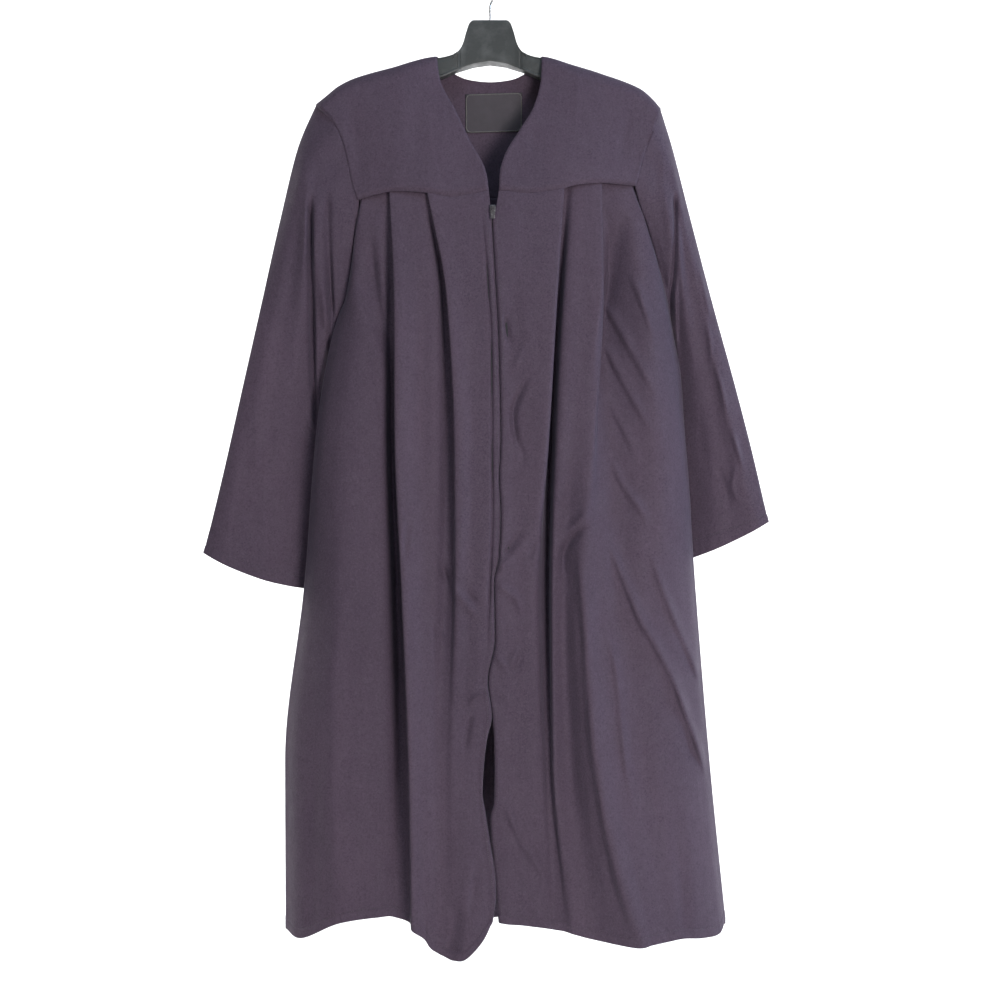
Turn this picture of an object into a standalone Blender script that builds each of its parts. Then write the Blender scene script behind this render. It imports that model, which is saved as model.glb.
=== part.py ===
"""A zip-front graduation gown of thin polyester, hanging on a plain moulded hanger.

Metres, +Z up, +X to the right and -Y to the front, from the inner top of the hanger's hook.
The tables are in millimetres: across (to the right), out (away from the hanger's middle
plane, to the front for a front piece and to the back for a back piece) and down from the hook.
Left and right are as seen from the front.
"""

import math

import bmesh
import bpy
import numpy as np
from mathutils import Vector

MM = 0.001

# Driving sizes, in millimetres
WALL = 1.2
SEAM_GAP = 0.8
LAYER_GAP = 0.3
ARMHOLE_GAP = 2.0
YOKE_SEAM_GAP = 1.1
LABEL_GAP = 0.4
SHOULDER_RADIUS = 21.0
NECK_RADIUS = 13.0
NECK_HALF_WIDTH = 76.0
NECK_EASE = 50.0
CHEST_DOWN, WAIST_DOWN, HIP_DOWN, KNEE_DOWN = 481.0, 684.0, 902.0, 1148.0
UNDERARM_DOWN = CHEST_DOWN
SIDE_SEAM_OUT = 0.7
TAPE_WALL = 1.0
TAPE_INNER, TAPE_OUTER = 3.0, 13.0
ZIP_TOP, ZIP_END = 356.0, 1030.0
ZIP_MEETS = 372.0
CHAIN_WIDTH, CHAIN_THICK = 4.4, 1.6
LABEL_LEFT, LABEL_RIGHT, LABEL_TOP, LABEL_BOTTOM = -36.0, 47.0, 177.0, 232.0
LABEL_WALL = 1.0
LABEL_TILT = -0.03
SLIDER_ACROSS = 4.2
SLIDER_BACK = 50.3
SLIDER_TOP, SLIDER_HEIGHT, SLIDER_WIDTH, SLIDER_THICK = 352.5, 10.0, 8.4, 4.0
SLIDER_BEVEL = 0.9
BRIDGE_TOP, BRIDGE_LENGTH = 353.3, 7.0
BRIDGE_WIDTH, BRIDGE_GAP, BRIDGE_THICK, BRIDGE_LEG = 1.5, 2.0, 1.1, 1.4
BRIDGE_SINK = 0.8
PIVOT_DOWN = 356.2
PULL_BAR_RADIUS, PULL_THICK, PULL_WIDTH, PULL_LENGTH = 0.6, 1.2, 6.4, 16.0
PULL_HOLE_WIDTH, PULL_HOLE_LENGTH = 3.6, 5.6
PULL_BEVEL = 0.25
WIRE_RADIUS = 1.5
HOOK_RADIUS = 24.0
HOOK_START, HOOK_END, HOOK_STEP = -35, 200, 12
SOCKET_DEPTH = 25.0
SOCKET_SIDES = 16

# How finely the cloth is divided: rows down a piece, and steps between two fold lines
FRONT_ROWS, BACK_ROWS, SLEEVE_ROWS, YOKE_ROWS = 19, 16, 14, 9
FRONT_STEPS, BACK_STEPS, SLEEVE_STEPS, YOKE_STEPS = 2, 2, 2, 9
ROW_CROWDING, YOKE_ROW_CROWDING = 1.3, 2.2
LABEL_COLUMNS, LABEL_ROWS = 7, 5

# The shoulder line over the hanger, from the neck to the sleeve: across, down
SHOULDER = {
    "left": ((-77, 129), (-140, 145), (-196, 161), (-220, 173), (-236, 186), (-252, 199)),
    "right": ((75, 129), (118, 141), (160, 154), (217, 176), (236, 192), (247, 205)),
}
# The edge of the V neck, from the shoulder to the yoke seam: across, down
NECK = {
    "left": ((-77, 129), (-72, 165), (-50, 211), (-28.5, 257), (-5, 305), (-1.5, 330)),
    "right": ((75, 129), (73.5, 165), (64, 204), (43, 241), (21, 279), (14, 306), (13, 330)),
}
# The yoke seam, from the centre front to the armhole: across, down
YOKE_SEAM = {
    "left": ((-1.5, 330), (-28, 336), (-57, 339), (-92, 333), (-135, 330), (-164, 334), (-190, 341)),
    "right": ((13, 330), (50, 334), (92, 330), (128, 321), (164, 318), (210, 321)),
}
# The armhole beside the yoke, from the shoulder to the yoke seam: across, down
ARMHOLE = {
    "left": ((-252, 199), (-229, 222), (-218, 242), (-208, 269), (-198, 318), (-190, 341)),
    "right": ((247, 205), (235, 240), (222, 275), (210, 321)),
}
# How far out the yoke stands along its seam: share of the way from the centre to the armhole, out
YOKE_FULLNESS = ((0.0, 48.0), (0.45, 46.5), (0.72, 41.0), (1.0, 29.0))
# The back neck, from the left shoulder to the right one: across, down
BACK_NECK = ((-77, 129), (-58, 146), (-30, 158), (0, 161), (30, 158), (56, 146), (75, 129))

# Columns of the back yoke along the back neck, close together where it leaves the shoulders
BACK_NECK_COLUMNS = (0.03, 0.08, 0.16, 0.28, 0.42, 0.58, 0.72, 0.84, 0.92, 0.97)

# The two front edges, down the zip and the slit below it: down, across
FRONT_EDGE = {
    "left": (
        (330, -1.5), (356, 1.0), (372, 2.5), (400, 4.2), (464, 8), (539, 12), (686, 15), (742, 13),
        (785, 15), (848, 13), (887, 6), (969, 7), (1025, -3), (1077, 3), (1104, -3),
        (1140, -8), (1183, -10), (1210, -6), (1258, 1.5), (1291, 7), (1325, 9), (1362, 4),
    ),
    "right": (
        (330, 13), (356, 8.7), (372, 4.2), (400, 5.1), (464, 8.9), (539, 12.9), (686, 15.8), (742, 13.8),
        (785, 15.8), (848, 13.8), (887, 6.8), (969, 7.8), (1025, -2.2), (1077, 3.8), (1104, 6),
        (1152, 7), (1197, 6), (1219, 1), (1245, 1.5), (1267, 4), (1328, 9), (1366, 13),
    ),
}

# The side seams, from the yoke seam to the hem: down, across
SIDE_SEAM = {
    "left": (
        (341, -190), (481, -210), (500, -218), (540, -230), (590, -240), (640, -248), (684, -253),
        (742, -258), (844, -265), (902, -270), (1148, -297), (1392, -296),
    ),
    "right": (
        (321, 210), (481, 257), (534, 266), (589, 276), (670, 282), (742, 288), (844, 294),
        (902, 298), (1148, 318), (1378, 341),
    ),
}

# The fold lines of each front, from the front edge to the side seam.
# fold line, hem down, then across and out at the yoke seam, chest, waist, hip, knee and hem
FRONT_FOLDS = {
    "left": (
        ("front edge", 1362, (-1.5, 8, 15, 6, -8, 4), (48, 54, 60, 66, 74, 84)),
        ("edge roll", 1389, (-14, -5, 2, -7, -22, -10), (49, 56, 62, 69, 76, 92)),
        ("front middle", 1413, (-50, -36, -24, -28, -38, -33), (48, 56, 61, 67, 76, 94)),
        ("inner pleat edge", 1416, (-88, -61, -49, -47, -52, -50), (47, 58, 65, 68, 76, 88)),
        ("inner pleat under", 1412, (-79, -54, -50, -53, -62, -62), (43, 42, 46, 57, 73, 84)),
        ("inner pleat back", 1407, (-91, -67, -61, -64, -75, -72), (39, 31, 40, 53, 73, 84)),
        ("band fold", 1399, (-99, -76, -74, -78, -86, -83), (39, 46, 55, 64, 78, 87)),
        ("band", 1386, (-118, -103, -99, -94, -94, -92), (39.5, 51, 59, 68, 81, 88)),
        ("outer pleat edge", 1374, (-143, -135, -133, -123, -113, -108), (38.5, 54, 67, 78, 88, 92)),
        ("outer pleat under", 1366, (-134, -129, -129, -120, -113, -112), (34.5, 34, 34, 40, 58, 76)),
        ("outer pleat back", 1362, (-146, -142, -142, -134, -128, -129), (30.5, 22, 13, 18, 42, 67)),
        ("side fold", 1359, (-160, -156, -155, -152, -152, -152), (29.5, 31, 42, 52, 62, 72)),
        ("side middle", 1368, (-176, -184, -204, -212, -222, -212), (29, 31, 48, 57, 63, 72)),
        ("side front", 1396, (-186, -203, -238, -250, -272, -268), (29, 20, 30, 34, 38, 42)),
        ("side seam", 1392, (-190, -210, -253, -270, -297, -296), (29, 0, 0, 0, 0, 0)),
    ),
    "right": (
        ("front edge", 1366, (13, 8.8, 15.8, 6.8, 7, 13), (48, 54, 60, 65, 70, 74)),
        ("edge roll", 1368, (26, 21, 28, 19, 20, 27), (49, 56, 62, 67, 72, 77)),
        ("front middle", 1370, (60, 52, 48, 40, 42, 48), (48, 57, 61, 64, 69, 75)),
        ("inner pleat edge", 1374, (104, 94, 82, 65, 70, 80), (47, 60, 66, 63, 67, 76)),
        ("inner pleat under", 1377, (98, 89, 80, 75, 80, 92), (42, 42, 38, 42, 56, 72)),
        ("inner pleat back", 1379, (110, 99, 88, 84, 87, 106), (36, 26, 18, 28, 54, 73)),
        ("band fold", 1382, (121, 107, 95, 88.5, 92, 120), (38.5, 52, 58, 60, 68, 79)),
        ("band", 1390, (140, 134, 120, 107, 116, 152), (39.5, 54, 60, 55, 59, 80)),
        ("outer pleat edge", 1396, (159, 161, 146, 128, 146, 205), (38.5, 54, 62, 75, 90, 98)),
        ("outer pleat under", 1394, (150, 152, 154, 158, 180, 228), (34.5, 37, 50, 68, 80, 90)),
        ("outer pleat back", 1392, (161, 167, 176, 190, 212, 250), (30.5, 25, 41, 57, 70, 80)),
        ("side hollow", 1390, (177, 194, 210, 223, 243, 274), (29.5, 32, 46, 57, 66, 70)),
        ("side middle", 1393, (193, 222, 243, 255, 274, 302), (29, 37, 47, 50, 54, 54)),
        ("side front", 1393, (206, 248, 270, 284, 303, 329), (29, 22, 27, 27, 28, 28)),
        ("side seam", 1378, (210, 257, 283, 298, 318, 341), (29, 0, 0, 0, 0, 0)),
    ),
}

# The fold lines of half the back, from the middle to the side seam. Across is a share of the
# way to that side seam, so that both halves reach theirs.
BACK_FOLDS = (
    ("centre back", 1394, (0, 0, 0, 0, 0, 0), (48, 47, 50, 57, 64, 70)),
    ("middle ridge", 1394, (0.17, 0.13, 0.11, 0.10, 0.10, 0.10), (48, 54, 62, 72, 82, 88)),
    ("inner pleat edge", 1394, (0.40, 0.29, 0.22, 0.20, 0.20, 0.20), (47, 57, 66, 76, 86, 92)),
    ("inner pleat under", 1392, (0.36, 0.26, 0.235, 0.235, 0.24, 0.25), (43, 46, 49, 56, 66, 76)),
    ("inner pleat back", 1390, (0.42, 0.33, 0.29, 0.28, 0.29, 0.31), (39, 38, 42, 50, 60, 70)),
    ("band", 1388, (0.56, 0.47, 0.40, 0.38, 0.38, 0.40), (39.5, 48, 54, 62, 71, 80)),
    ("outer pleat edge", 1388, (0.70, 0.60, 0.50, 0.48, 0.48, 0.49), (38.5, 52, 63, 74, 84, 90)),
    ("outer pleat under", 1386, (0.66, 0.57, 0.525, 0.525, 0.53, 0.54), (34.5, 40, 47, 54, 62, 70)),
    ("outer pleat back", 1386, (0.72, 0.64, 0.58, 0.58, 0.58, 0.60), (30.5, 31, 40, 47, 54, 62)),
    ("side hollow", 1386, (0.82, 0.73, 0.67, 0.67, 0.68, 0.70), (29.5, 34, 46, 56, 64, 72)),
    ("side middle", 1388, (0.91, 0.86, 0.82, 0.82, 0.83, 0.84), (29, 33, 44, 50, 54, 58)),
    ("side back", 1392, (0.97, 0.955, 0.95, 0.95, 0.95, 0.955), (29, 19, 27, 28, 30, 30)),
    ("side seam", 1386, (1, 1, 1, 1, 1, 1), (29, 0, 0, 0, 0, 0)),
)

# The sleeves' stations below the armhole.
# station, outer edge across, down and out, inner edge across, down and out
SLEEVE_STATIONS = {
    "left": (
        ("cap", (-277, 257, 0), (-232, 520, -5)),
        ("upper arm", (-305, 370, 1), (-232, 563, -25)),
        ("elbow", (-331, 487, 2), (-241, 614, -32)),
        ("forearm", (-359, 612, 3), (-250, 700, -36)),
        ("lower arm", (-385, 728, 3), (-257, 786, -37)),
        ("wrist", (-406, 815, 3), (-262, 858, -37)),
        ("cuff", (-415, 848, 3), (-264, 902, -37)),
    ),
    "right": (
        ("cap", (263, 257, 0), (270, 524, -12)),
        ("upper arm", (289, 358, 0), (271, 583, -30)),
        ("elbow", (321, 481, 0), (277, 641, -36)),
        ("forearm", (355, 605, 0), (280, 700, -38)),
        ("lower arm", (381, 706, 0), (280, 758, -38)),
        ("wrist", (398, 779, 0), (281, 812, -38)),
        ("cuff", (404, 803, 0), (281, 862, -38)),
    ),
}
# The sleeves' fold lines, round the sleeve from the outer edge over the front and back again.
# fold line, share of the way from the outer edge to the inner one at the armhole and at each
# station, then how far it stands out from the line between the two edges at each station
SLEEVE_FOLDS = (
    ("outer edge", (0, 0, 0, 0, 0, 0, 0, 0), (0, 0, 0, 0, 0, 0, 0)),
    ("front fold", (0.12, 0.14, 0.16, 0.17, 0.17, 0.17, 0.17, 0.17), (21, 19, 17, 15, 15, 14, 13)),
    ("front hollow", (0.26, 0.30, 0.34, 0.36, 0.37, 0.37, 0.37, 0.37), (26, 23, 20, 17, 16, 15, 14)),
    ("cap fold", (0.40, 0.46, 0.54, 0.58, 0.60, 0.60, 0.60, 0.60), (31, 29, 25, 21, 20, 18, 17)),
    ("cap hollow", (0.58, 0.66, 0.74, 0.79, 0.80, 0.80, 0.80, 0.80), (26, 20, 16, 13, 12, 12, 12)),
    ("under fold", (0.80, 0.86, 0.90, 0.93, 0.94, 0.94, 0.94, 0.94), (19, 14, 10, 8, 7, 7, 7)),
    ("inner edge", (1, 1, 1, 1, 1, 1, 1, 1), (0, 0, 0, 0, 0, 0, 0)),
    ("back under fold", (0.78, 0.82, 0.84, 0.86, 0.86, 0.86, 0.86, 0.86),
     (-19, -15, -13, -12, -12, -12, -12)),
    ("back fold", (0.50, 0.54, 0.56, 0.58, 0.58, 0.58, 0.58, 0.58), (-30, -27, -24, -22, -20, -19, -18)),
    ("back hollow", (0.26, 0.28, 0.30, 0.30, 0.30, 0.30, 0.30, 0.30), (-25, -23, -21, -18, -17, -16, -15)),
    ("back outer fold", (0.10, 0.11, 0.12, 0.12, 0.12, 0.12, 0.12, 0.12),
     (-19, -16, -14, -13, -12, -11, -10)),
)
# How far the cuff's edge hangs below the line between its two ends, at its middle
CUFF_SAG = {"left": 9.0, "right": 4.0}

# The hanger's sections from the middle of its neck plate to the end of an arm:
# across, top (none where it follows the shoulder), bottom, half its thickness, and how far
# back the flange along its lower edge reaches
HANGER_SECTIONS = (
    (0.0, 76, 136, 6.5, 25.0),
    (24.0, 76, 140, 6.5, 23.0),
    (29.5, 80, 142, 6.5, 21.5),
    (34.5, 93, 144, 6.5, 19.5),
    (39.0, 109, 146, 6.8, 17.0),
    (43.0, 117, 148, 7.4, 14.0),
    (47.5, 122, 150, 8.5, 11.5),
    (60.0, 127.5, 156, 9.5, 9.8),
    (78.0, None, 163, 10.3, 10.6),
    (100.0, None, 170, 13.5, 13.8),
    (130.0, None, 180, 17.5, 17.8),
    (160.0, None, 189, 18.0, 18.3),
    (196.0, None, 202, 18.0, 18.3),
    (216.0, None, 209, 16.0, 16.3),
    (226.0, None, 209, 11.0, 11.3),
)
# How far the top of an arm lies under the middle of the cloth that rests on it
ARM_BELOW_CLOTH = 2.2
HANGER_CORNER_STEPS = 4
FLANGE_RISE, FLANGE_EDGE = 4.5, 1.5

# The hook's wire from its end in the neck plate to where its round bend starts: across, down
HOOK_WIRE = ((0, 98), (0, 76), (0, 62), (0.5, 54), (4, 46.5), (10.5, 41))

SIGN = {"left": -1.0, "right": 1.0}


def smooth(knots, values, at):
    """A curve through the values at the knots that never swings past them."""
    knots = np.asarray(knots, float)
    values = np.asarray(values, float)
    at = np.clip(np.asarray(at, float), knots[0], knots[-1])
    step = np.diff(knots)
    rise = np.diff(values) / step
    slope = np.empty(len(knots))
    slope[0], slope[-1] = rise[0], rise[-1]
    before, after = rise[:-1], rise[1:]
    same_way = before * after > 0
    slope[1:-1] = np.where(same_way, 2 * before * after / np.where(same_way, before + after, 1), 0)
    i = np.clip(np.searchsorted(knots, at, side="right") - 1, 0, len(step) - 1)
    t = (at - knots[i]) / step[i]
    return (
        values[i] * (1 + 2 * t) * (1 - t) ** 2
        + slope[i] * step[i] * t * (1 - t) ** 2
        + values[i + 1] * t * t * (3 - 2 * t)
        + slope[i + 1] * step[i] * t * t * (t - 1)
    )


def rounded(lines, steps, closed=False):
    """Columns between fold lines, on a curve that bends evenly through them."""
    lines = np.asarray(lines, float)
    count = len(lines)
    columns = []
    for i in range(count if closed else count - 1):
        if closed:
            a, b, c, d = (lines[(i + k) % count] for k in (-1, 0, 1, 2))
        else:
            b, c = lines[i], lines[i + 1]
            a = lines[i - 1] if i else 2 * b - c
            d = lines[i + 2] if i + 2 < count else 2 * c - b
        for k in range(steps):
            t = k / steps
            columns.append(
                b
                + 0.5 * t * (c - a)
                + t * t * (a - 2.5 * b + 2 * c - 0.5 * d)
                + t**3 * (1.5 * (b - c) + 0.5 * (d - a))
            )
    if not closed:
        columns.append(lines[-1])
    return np.array(columns)


def edge_point(table, share):
    """(across, down) at a share of the way along a drawn edge, by its length."""
    points = np.asarray(table, float)
    along = np.concatenate([[0], np.cumsum(np.linalg.norm(np.diff(points, axis=0), axis=1))])
    along /= along[-1]
    return np.array([smooth(along, points[:, 0], share), smooth(along, points[:, 1], share)])


def shoulder_down(across):
    """Height of the shoulder line over a place, level between the two neck corners."""
    table = SHOULDER["left"][::-1] + SHOULDER["right"]
    return float(smooth([row[0] for row in table], [row[1] for row in table], across))


def yoke_out(across, down):
    """How far out the yoke stands: round over the hanger, then straight to its seam."""
    side = "left" if across < 0 else "right"
    seam = YOKE_SEAM[side]
    share = abs(across) / abs(seam[-1][0])
    at_seam = np.interp(share, [row[0] for row in YOKE_FULLNESS], [row[1] for row in YOKE_FULLNESS])
    widening = np.clip((abs(across) - NECK_HALF_WIDTH) / NECK_EASE, 0, 1)
    radius = NECK_RADIUS + (SHOULDER_RADIUS - NECK_RADIUS) * widening
    drop = max(down - shoulder_down(across), 0.0)
    over = 1 - min(drop / radius, 1.0)
    slope = (at_seam - radius) * min(drop / (seam_down(side)(across) - shoulder_down(across)), 1.0)
    return radius * math.sqrt(1 - over * over) + slope


def edge_across(table, down):
    """How far across a drawn edge lies at a height."""
    edge = np.asarray(table, float)
    return smooth(edge[:, 0], edge[:, 1], down)


def fold_lines(table, rows, top_down):
    """(fold line, row, [across, out, down]) of a panel that hangs from the yoke seam."""
    share = np.linspace(0, 1, rows + 1) ** ROW_CROWDING
    lines = []
    for _, hem, across, out in table:
        top = top_down(across[0]) + YOKE_SEAM_GAP
        levels = (top, CHEST_DOWN, WAIST_DOWN, HIP_DOWN, KNEE_DOWN, hem)
        down = top + (hem - top) * share
        lines.append(np.stack([smooth(levels, across, down), smooth(levels, out, down), down], axis=1))
    return np.array(lines)


def seam_down(side):
    """The yoke seam's height as a function of the place across."""
    table = sorted(YOKE_SEAM[side])
    return lambda across: float(smooth([row[0] for row in table], [row[1] for row in table], across))


def hung(grid, seam):
    """The panel with the top of every column brought to the yoke seam, fading downwards."""
    fade = 1 - np.linspace(0, 1, grid.shape[1])
    for column in grid:
        column[:, 2] += (seam(column[0, 0]) + YOKE_SEAM_GAP - column[0, 2]) * fade
    return grid


def front_points(side):
    """The middle of a front's wall: (column, row, [across, out, down])."""
    lines = fold_lines(FRONT_FOLDS[side], FRONT_ROWS, seam_down(side))
    lines[0, :, 0] = edge_across(FRONT_EDGE[side], lines[0, :, 2])
    lines[-1, :, 0] = edge_across(SIDE_SEAM[side], lines[-1, :, 2])
    lines[-1, :, 1] += SIDE_SEAM_OUT
    return hung(rounded(lines, FRONT_STEPS), seam_down(side))


def back_points():
    """The middle of the back's wall, from the left side seam to the right one."""
    halves = []
    for side in ("left", "right"):
        seam = FRONT_FOLDS[side][-1][2]
        table = [
            (name, hem, [share * reach for share, reach in zip(across, seam)], out)
            for name, hem, across, out in BACK_FOLDS
        ]
        half = fold_lines(table, BACK_ROWS, seam_down(side))
        half[-1, :, 0] = edge_across(SIDE_SEAM[side], half[-1, :, 2])
        half[-1, :, 1] += SIDE_SEAM_OUT
        halves.append(half)
    left, right = halves
    centre = (left[:1] + right[:1]) / 2
    grid = rounded(np.concatenate([left[:0:-1], centre, right[1:]]), BACK_STEPS)
    return hung(grid, lambda across: seam_down("left" if across < 0 else "right")(across))


def yoke_rows():
    """Shares of the way down a yoke, close together where it bends over the hanger."""
    return (np.arange(YOKE_ROWS + 1) / YOKE_ROWS) ** YOKE_ROW_CROWDING


def patch(top, bottom, start, end, shares):
    """(column, row, [across, down]) of the surface that fills four drawn edges."""
    grid = []
    corners = (edge_point(top, 0), edge_point(top, 1), edge_point(bottom, 0), edge_point(bottom, 1))
    for u in shares:
        column = []
        for v in yoke_rows():
            between_ends = (1 - v) * edge_point(top, u) + v * edge_point(bottom, u)
            between_sides = (1 - u) * edge_point(start, v) + u * edge_point(end, v)
            flat = (1 - v) * ((1 - u) * corners[0] + u * corners[1])
            flat += v * ((1 - u) * corners[2] + u * corners[3])
            column.append(between_ends + between_sides - flat)
        grid.append(column)
    return np.array(grid)


def with_depth(grid):
    """The same grid as (across, out, down), on the yoke's form and ending at its seam."""
    for column in grid:
        across = column[-1, 0]
        column[-1, 1] = seam_down("left" if across < 0 else "right")(across)
    return np.array(
        [[(x, yoke_out(x, down) + SEAM_GAP / 2, down) for x, down in column] for column in grid]
    )


def yoke_front_points(side):
    """The middle of a front yoke's wall."""
    shares = np.linspace(0, 1, YOKE_STEPS + 1)
    return with_depth(patch(SHOULDER[side], YOKE_SEAM[side], NECK[side], ARMHOLE[side], shares))


def yoke_back_points():
    """The middle of the back yoke's wall, whose top edge is both shoulders and the back neck."""
    top = SHOULDER["left"][::-1] + BACK_NECK[1:-1] + SHOULDER["right"]
    bottom = YOKE_SEAM["left"][::-1] + YOKE_SEAM["right"][1:]
    lengths = np.linalg.norm(np.diff(np.asarray(top, float), axis=0), axis=1)
    along = np.concatenate([[0], np.cumsum(lengths)]) / lengths.sum()
    first, last = along[len(SHOULDER["left"]) - 1], along[-len(SHOULDER["right"])]
    neck = first + (last - first) * np.array(BACK_NECK_COLUMNS)
    shoulder = np.linspace(0, 1, YOKE_STEPS)
    shares = np.concatenate([first * shoulder, neck, last + (1 - last) * shoulder])
    return with_depth(patch(top, bottom, ARMHOLE["left"], ARMHOLE["right"], shares))


def armhole_point(side, share):
    """(across, out, down) on the armhole, from the shoulder to under the arm."""
    yoke = ARMHOLE[side]
    seam = FRONT_FOLDS[side][-1]
    top, corner = yoke[0][1], yoke[-1][1]
    down = top + (UNDERARM_DOWN - top) * share
    if down < corner:
        across = float(smooth([row[1] for row in yoke], [row[0] for row in yoke], down))
        return np.array([across, yoke_out(across, down), down])
    levels = (corner, CHEST_DOWN, WAIST_DOWN)
    across = float(edge_across(SIDE_SEAM[side], down))
    return np.array([across, float(smooth(levels, seam[3][:3], down)), down])


def sleeve_points(side):
    """The middle of a sleeve's wall, a closed tube: (column, row, [across, out, down])."""
    stations = SLEEVE_STATIONS[side]
    outer = np.array([row[1] for row in stations], float)
    inner = np.array([row[2] for row in stations], float)
    lines = []
    for name, shares, stand in SLEEVE_FOLDS:
        front = -1.0 if name.startswith("back") else 1.0
        line = [armhole_point(side, shares[0]) * (1, front, 1)]
        for k, share in enumerate(shares[1:]):
            across, down, out = outer[k] + (inner[k] - outer[k]) * share
            if k == len(stations) - 1:
                down += CUFF_SAG[side] * 4 * share * (1 - share)
            line.append((across, out + stand[k], down))
        line = np.array(line)
        at = np.linspace(0, len(stations), SLEEVE_ROWS + 1)
        knots = np.arange(len(stations) + 1)
        lines.append(np.stack([smooth(knots, line[:, k], at) for k in range(3)], axis=1))
    grid = rounded(lines, SLEEVE_STEPS, closed=True)
    shares = rounded([[row[1][0]] for row in SLEEVE_FOLDS], SLEEVE_STEPS, closed=True)[:, 0]
    inner_column = SLEEVE_STEPS * [row[0] for row in SLEEVE_FOLDS].index("inner edge")
    for i, (column, share) in enumerate(zip(grid, shares)):
        facing = 1.0 if i <= inner_column else -1.0
        column[0] = armhole_point(side, min(max(share, 0), 1)) * (1, facing, 1)
        column[0, 0] += SIGN[side] * ARMHOLE_GAP
    return grid


def material(name, colour, roughness, metallic=0.0):
    made = bpy.data.materials.new(name)
    made.use_nodes = True
    shader = made.node_tree.nodes["Principled BSDF"]
    shader.inputs["Base Color"].default_value = (*colour, 1)
    shader.inputs["Roughness"].default_value = roughness
    shader.inputs["Metallic"].default_value = metallic
    return made


def to_world(points, back=False):
    """Metres in the part's frame, from (across, out, down) in millimetres."""
    points = np.asarray(points, float)
    out = points[..., 1] if back else -points[..., 1]
    return np.stack([points[..., 0], out, -points[..., 2]], axis=-1) * MM


def add_object(name, mesh, collection, finish):
    mesh.materials.append(finish)
    obj = bpy.data.objects.new(name, mesh)
    collection.objects.link(obj)
    return obj


def cloth(name, grid, collection, finish, wall=WALL, closed=False):
    """A wall of cloth of even thickness about a grid of (column, row, xyz)."""
    columns, rows = grid.shape[:2]
    faces = []
    for i in range(columns if closed else columns - 1):
        j = (i + 1) % columns
        faces += [
            (i * rows + k, j * rows + k, j * rows + k + 1, i * rows + k + 1) for k in range(rows - 1)
        ]
    mesh = bpy.data.meshes.new(name)
    mesh.from_pydata(grid.reshape(-1, 3).tolist(), [], faces)
    mesh.shade_smooth()
    obj = add_object(name, mesh, collection, finish)
    solidify = obj.modifiers.new("wall", "SOLIDIFY")
    solidify.thickness = wall * MM
    solidify.offset = 0
    solidify.use_even_offset = True
    return obj


def moved_in(grid, distance):
    """The grid moved towards the inside of the gown, square to its surface."""
    down_row = np.gradient(grid, axis=1)
    along = np.gradient(grid, axis=0)
    normal = np.cross(along, down_row)
    normal /= np.linalg.norm(normal, axis=-1, keepdims=True)
    inward = np.where(normal[..., 1:2] > 0, -1.0, 1.0)
    return grid + normal * inward * distance


def zip_strip(side, near, far, behind, columns=3):
    """A strip beside the front edges, from its near side to its far one, behind the cloth."""
    edge = FRONT_EDGE["right" if side == "chain" else side]
    grid = []
    for reach in np.linspace(near, far, columns):
        column = []
        for down in np.linspace(ZIP_TOP, ZIP_END, FRONT_ROWS):
            middle = float(edge_across(edge, max(down, ZIP_MEETS)))
            column.append((middle + reach, front_depth(down) - behind, down))
        grid.append(column)
    return np.array(grid)


def front_depth(down):
    """The least depth of the two fronts beside the zip."""
    levels = (YOKE_SEAM["left"][0][1], CHEST_DOWN, WAIST_DOWN, HIP_DOWN, KNEE_DOWN)
    depths = [min(a, b) for a, b in zip(FRONT_FOLDS["left"][0][3], FRONT_FOLDS["right"][0][3])]
    return float(smooth(levels, depths[:5], down))


def build_zip(collection, finishes):
    behind = WALL / 2 + LAYER_GAP + TAPE_WALL / 2
    left = zip_strip("left", -TAPE_OUTER, -TAPE_INNER, behind)
    right = zip_strip("right", TAPE_INNER, TAPE_OUTER, behind)
    cloth("zip_tape_left", to_world(left), collection, finishes["tape"], TAPE_WALL)
    cloth("zip_tape_right", to_world(right), collection, finishes["tape"], TAPE_WALL)
    behind = WALL / 2 + LAYER_GAP + CHAIN_THICK / 2
    near, far = -(CHAIN_WIDTH + SEAM_GAP) / 2, (CHAIN_WIDTH - SEAM_GAP) / 2
    chain = zip_strip("chain", near, far, behind)
    cloth("zip_chain", to_world(chain), collection, finishes["teeth"], CHAIN_THICK)


def box(name, low, high, collection, finish, bevel=0.0):
    """A block between two corners, in millimetres: across, out and down."""
    corners = to_world([low, high])
    bpy.ops.mesh.primitive_cube_add(size=1, location=corners.mean(axis=0).tolist())
    obj = bpy.context.object
    obj.name = name
    obj.data.name = name
    size = np.abs(corners[1] - corners[0])
    bm = bmesh.new()
    bm.from_mesh(obj.data)
    bmesh.ops.scale(bm, vec=Vector(size.tolist()), verts=bm.verts)
    bm.to_mesh(obj.data)
    bm.free()
    obj.data.materials.append(finish)
    for other in list(obj.users_collection):
        other.objects.unlink(obj)
    collection.objects.link(obj)
    if bevel:
        rounding = obj.modifiers.new("edges", "BEVEL")
        rounding.width = bevel * MM
        rounding.segments = 2
    return obj


def join(target, parts, operation="UNION"):
    """Adds or cuts each of the other objects, which stay as hidden helpers."""
    for part in parts:
        change = target.modifiers.new(f"{operation.lower()} {part.name}", "BOOLEAN")
        change.operation = operation
        change.solver = "EXACT"
        change.object = part
        part.hide_render = True
        part.display_type = "WIRE"


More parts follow.
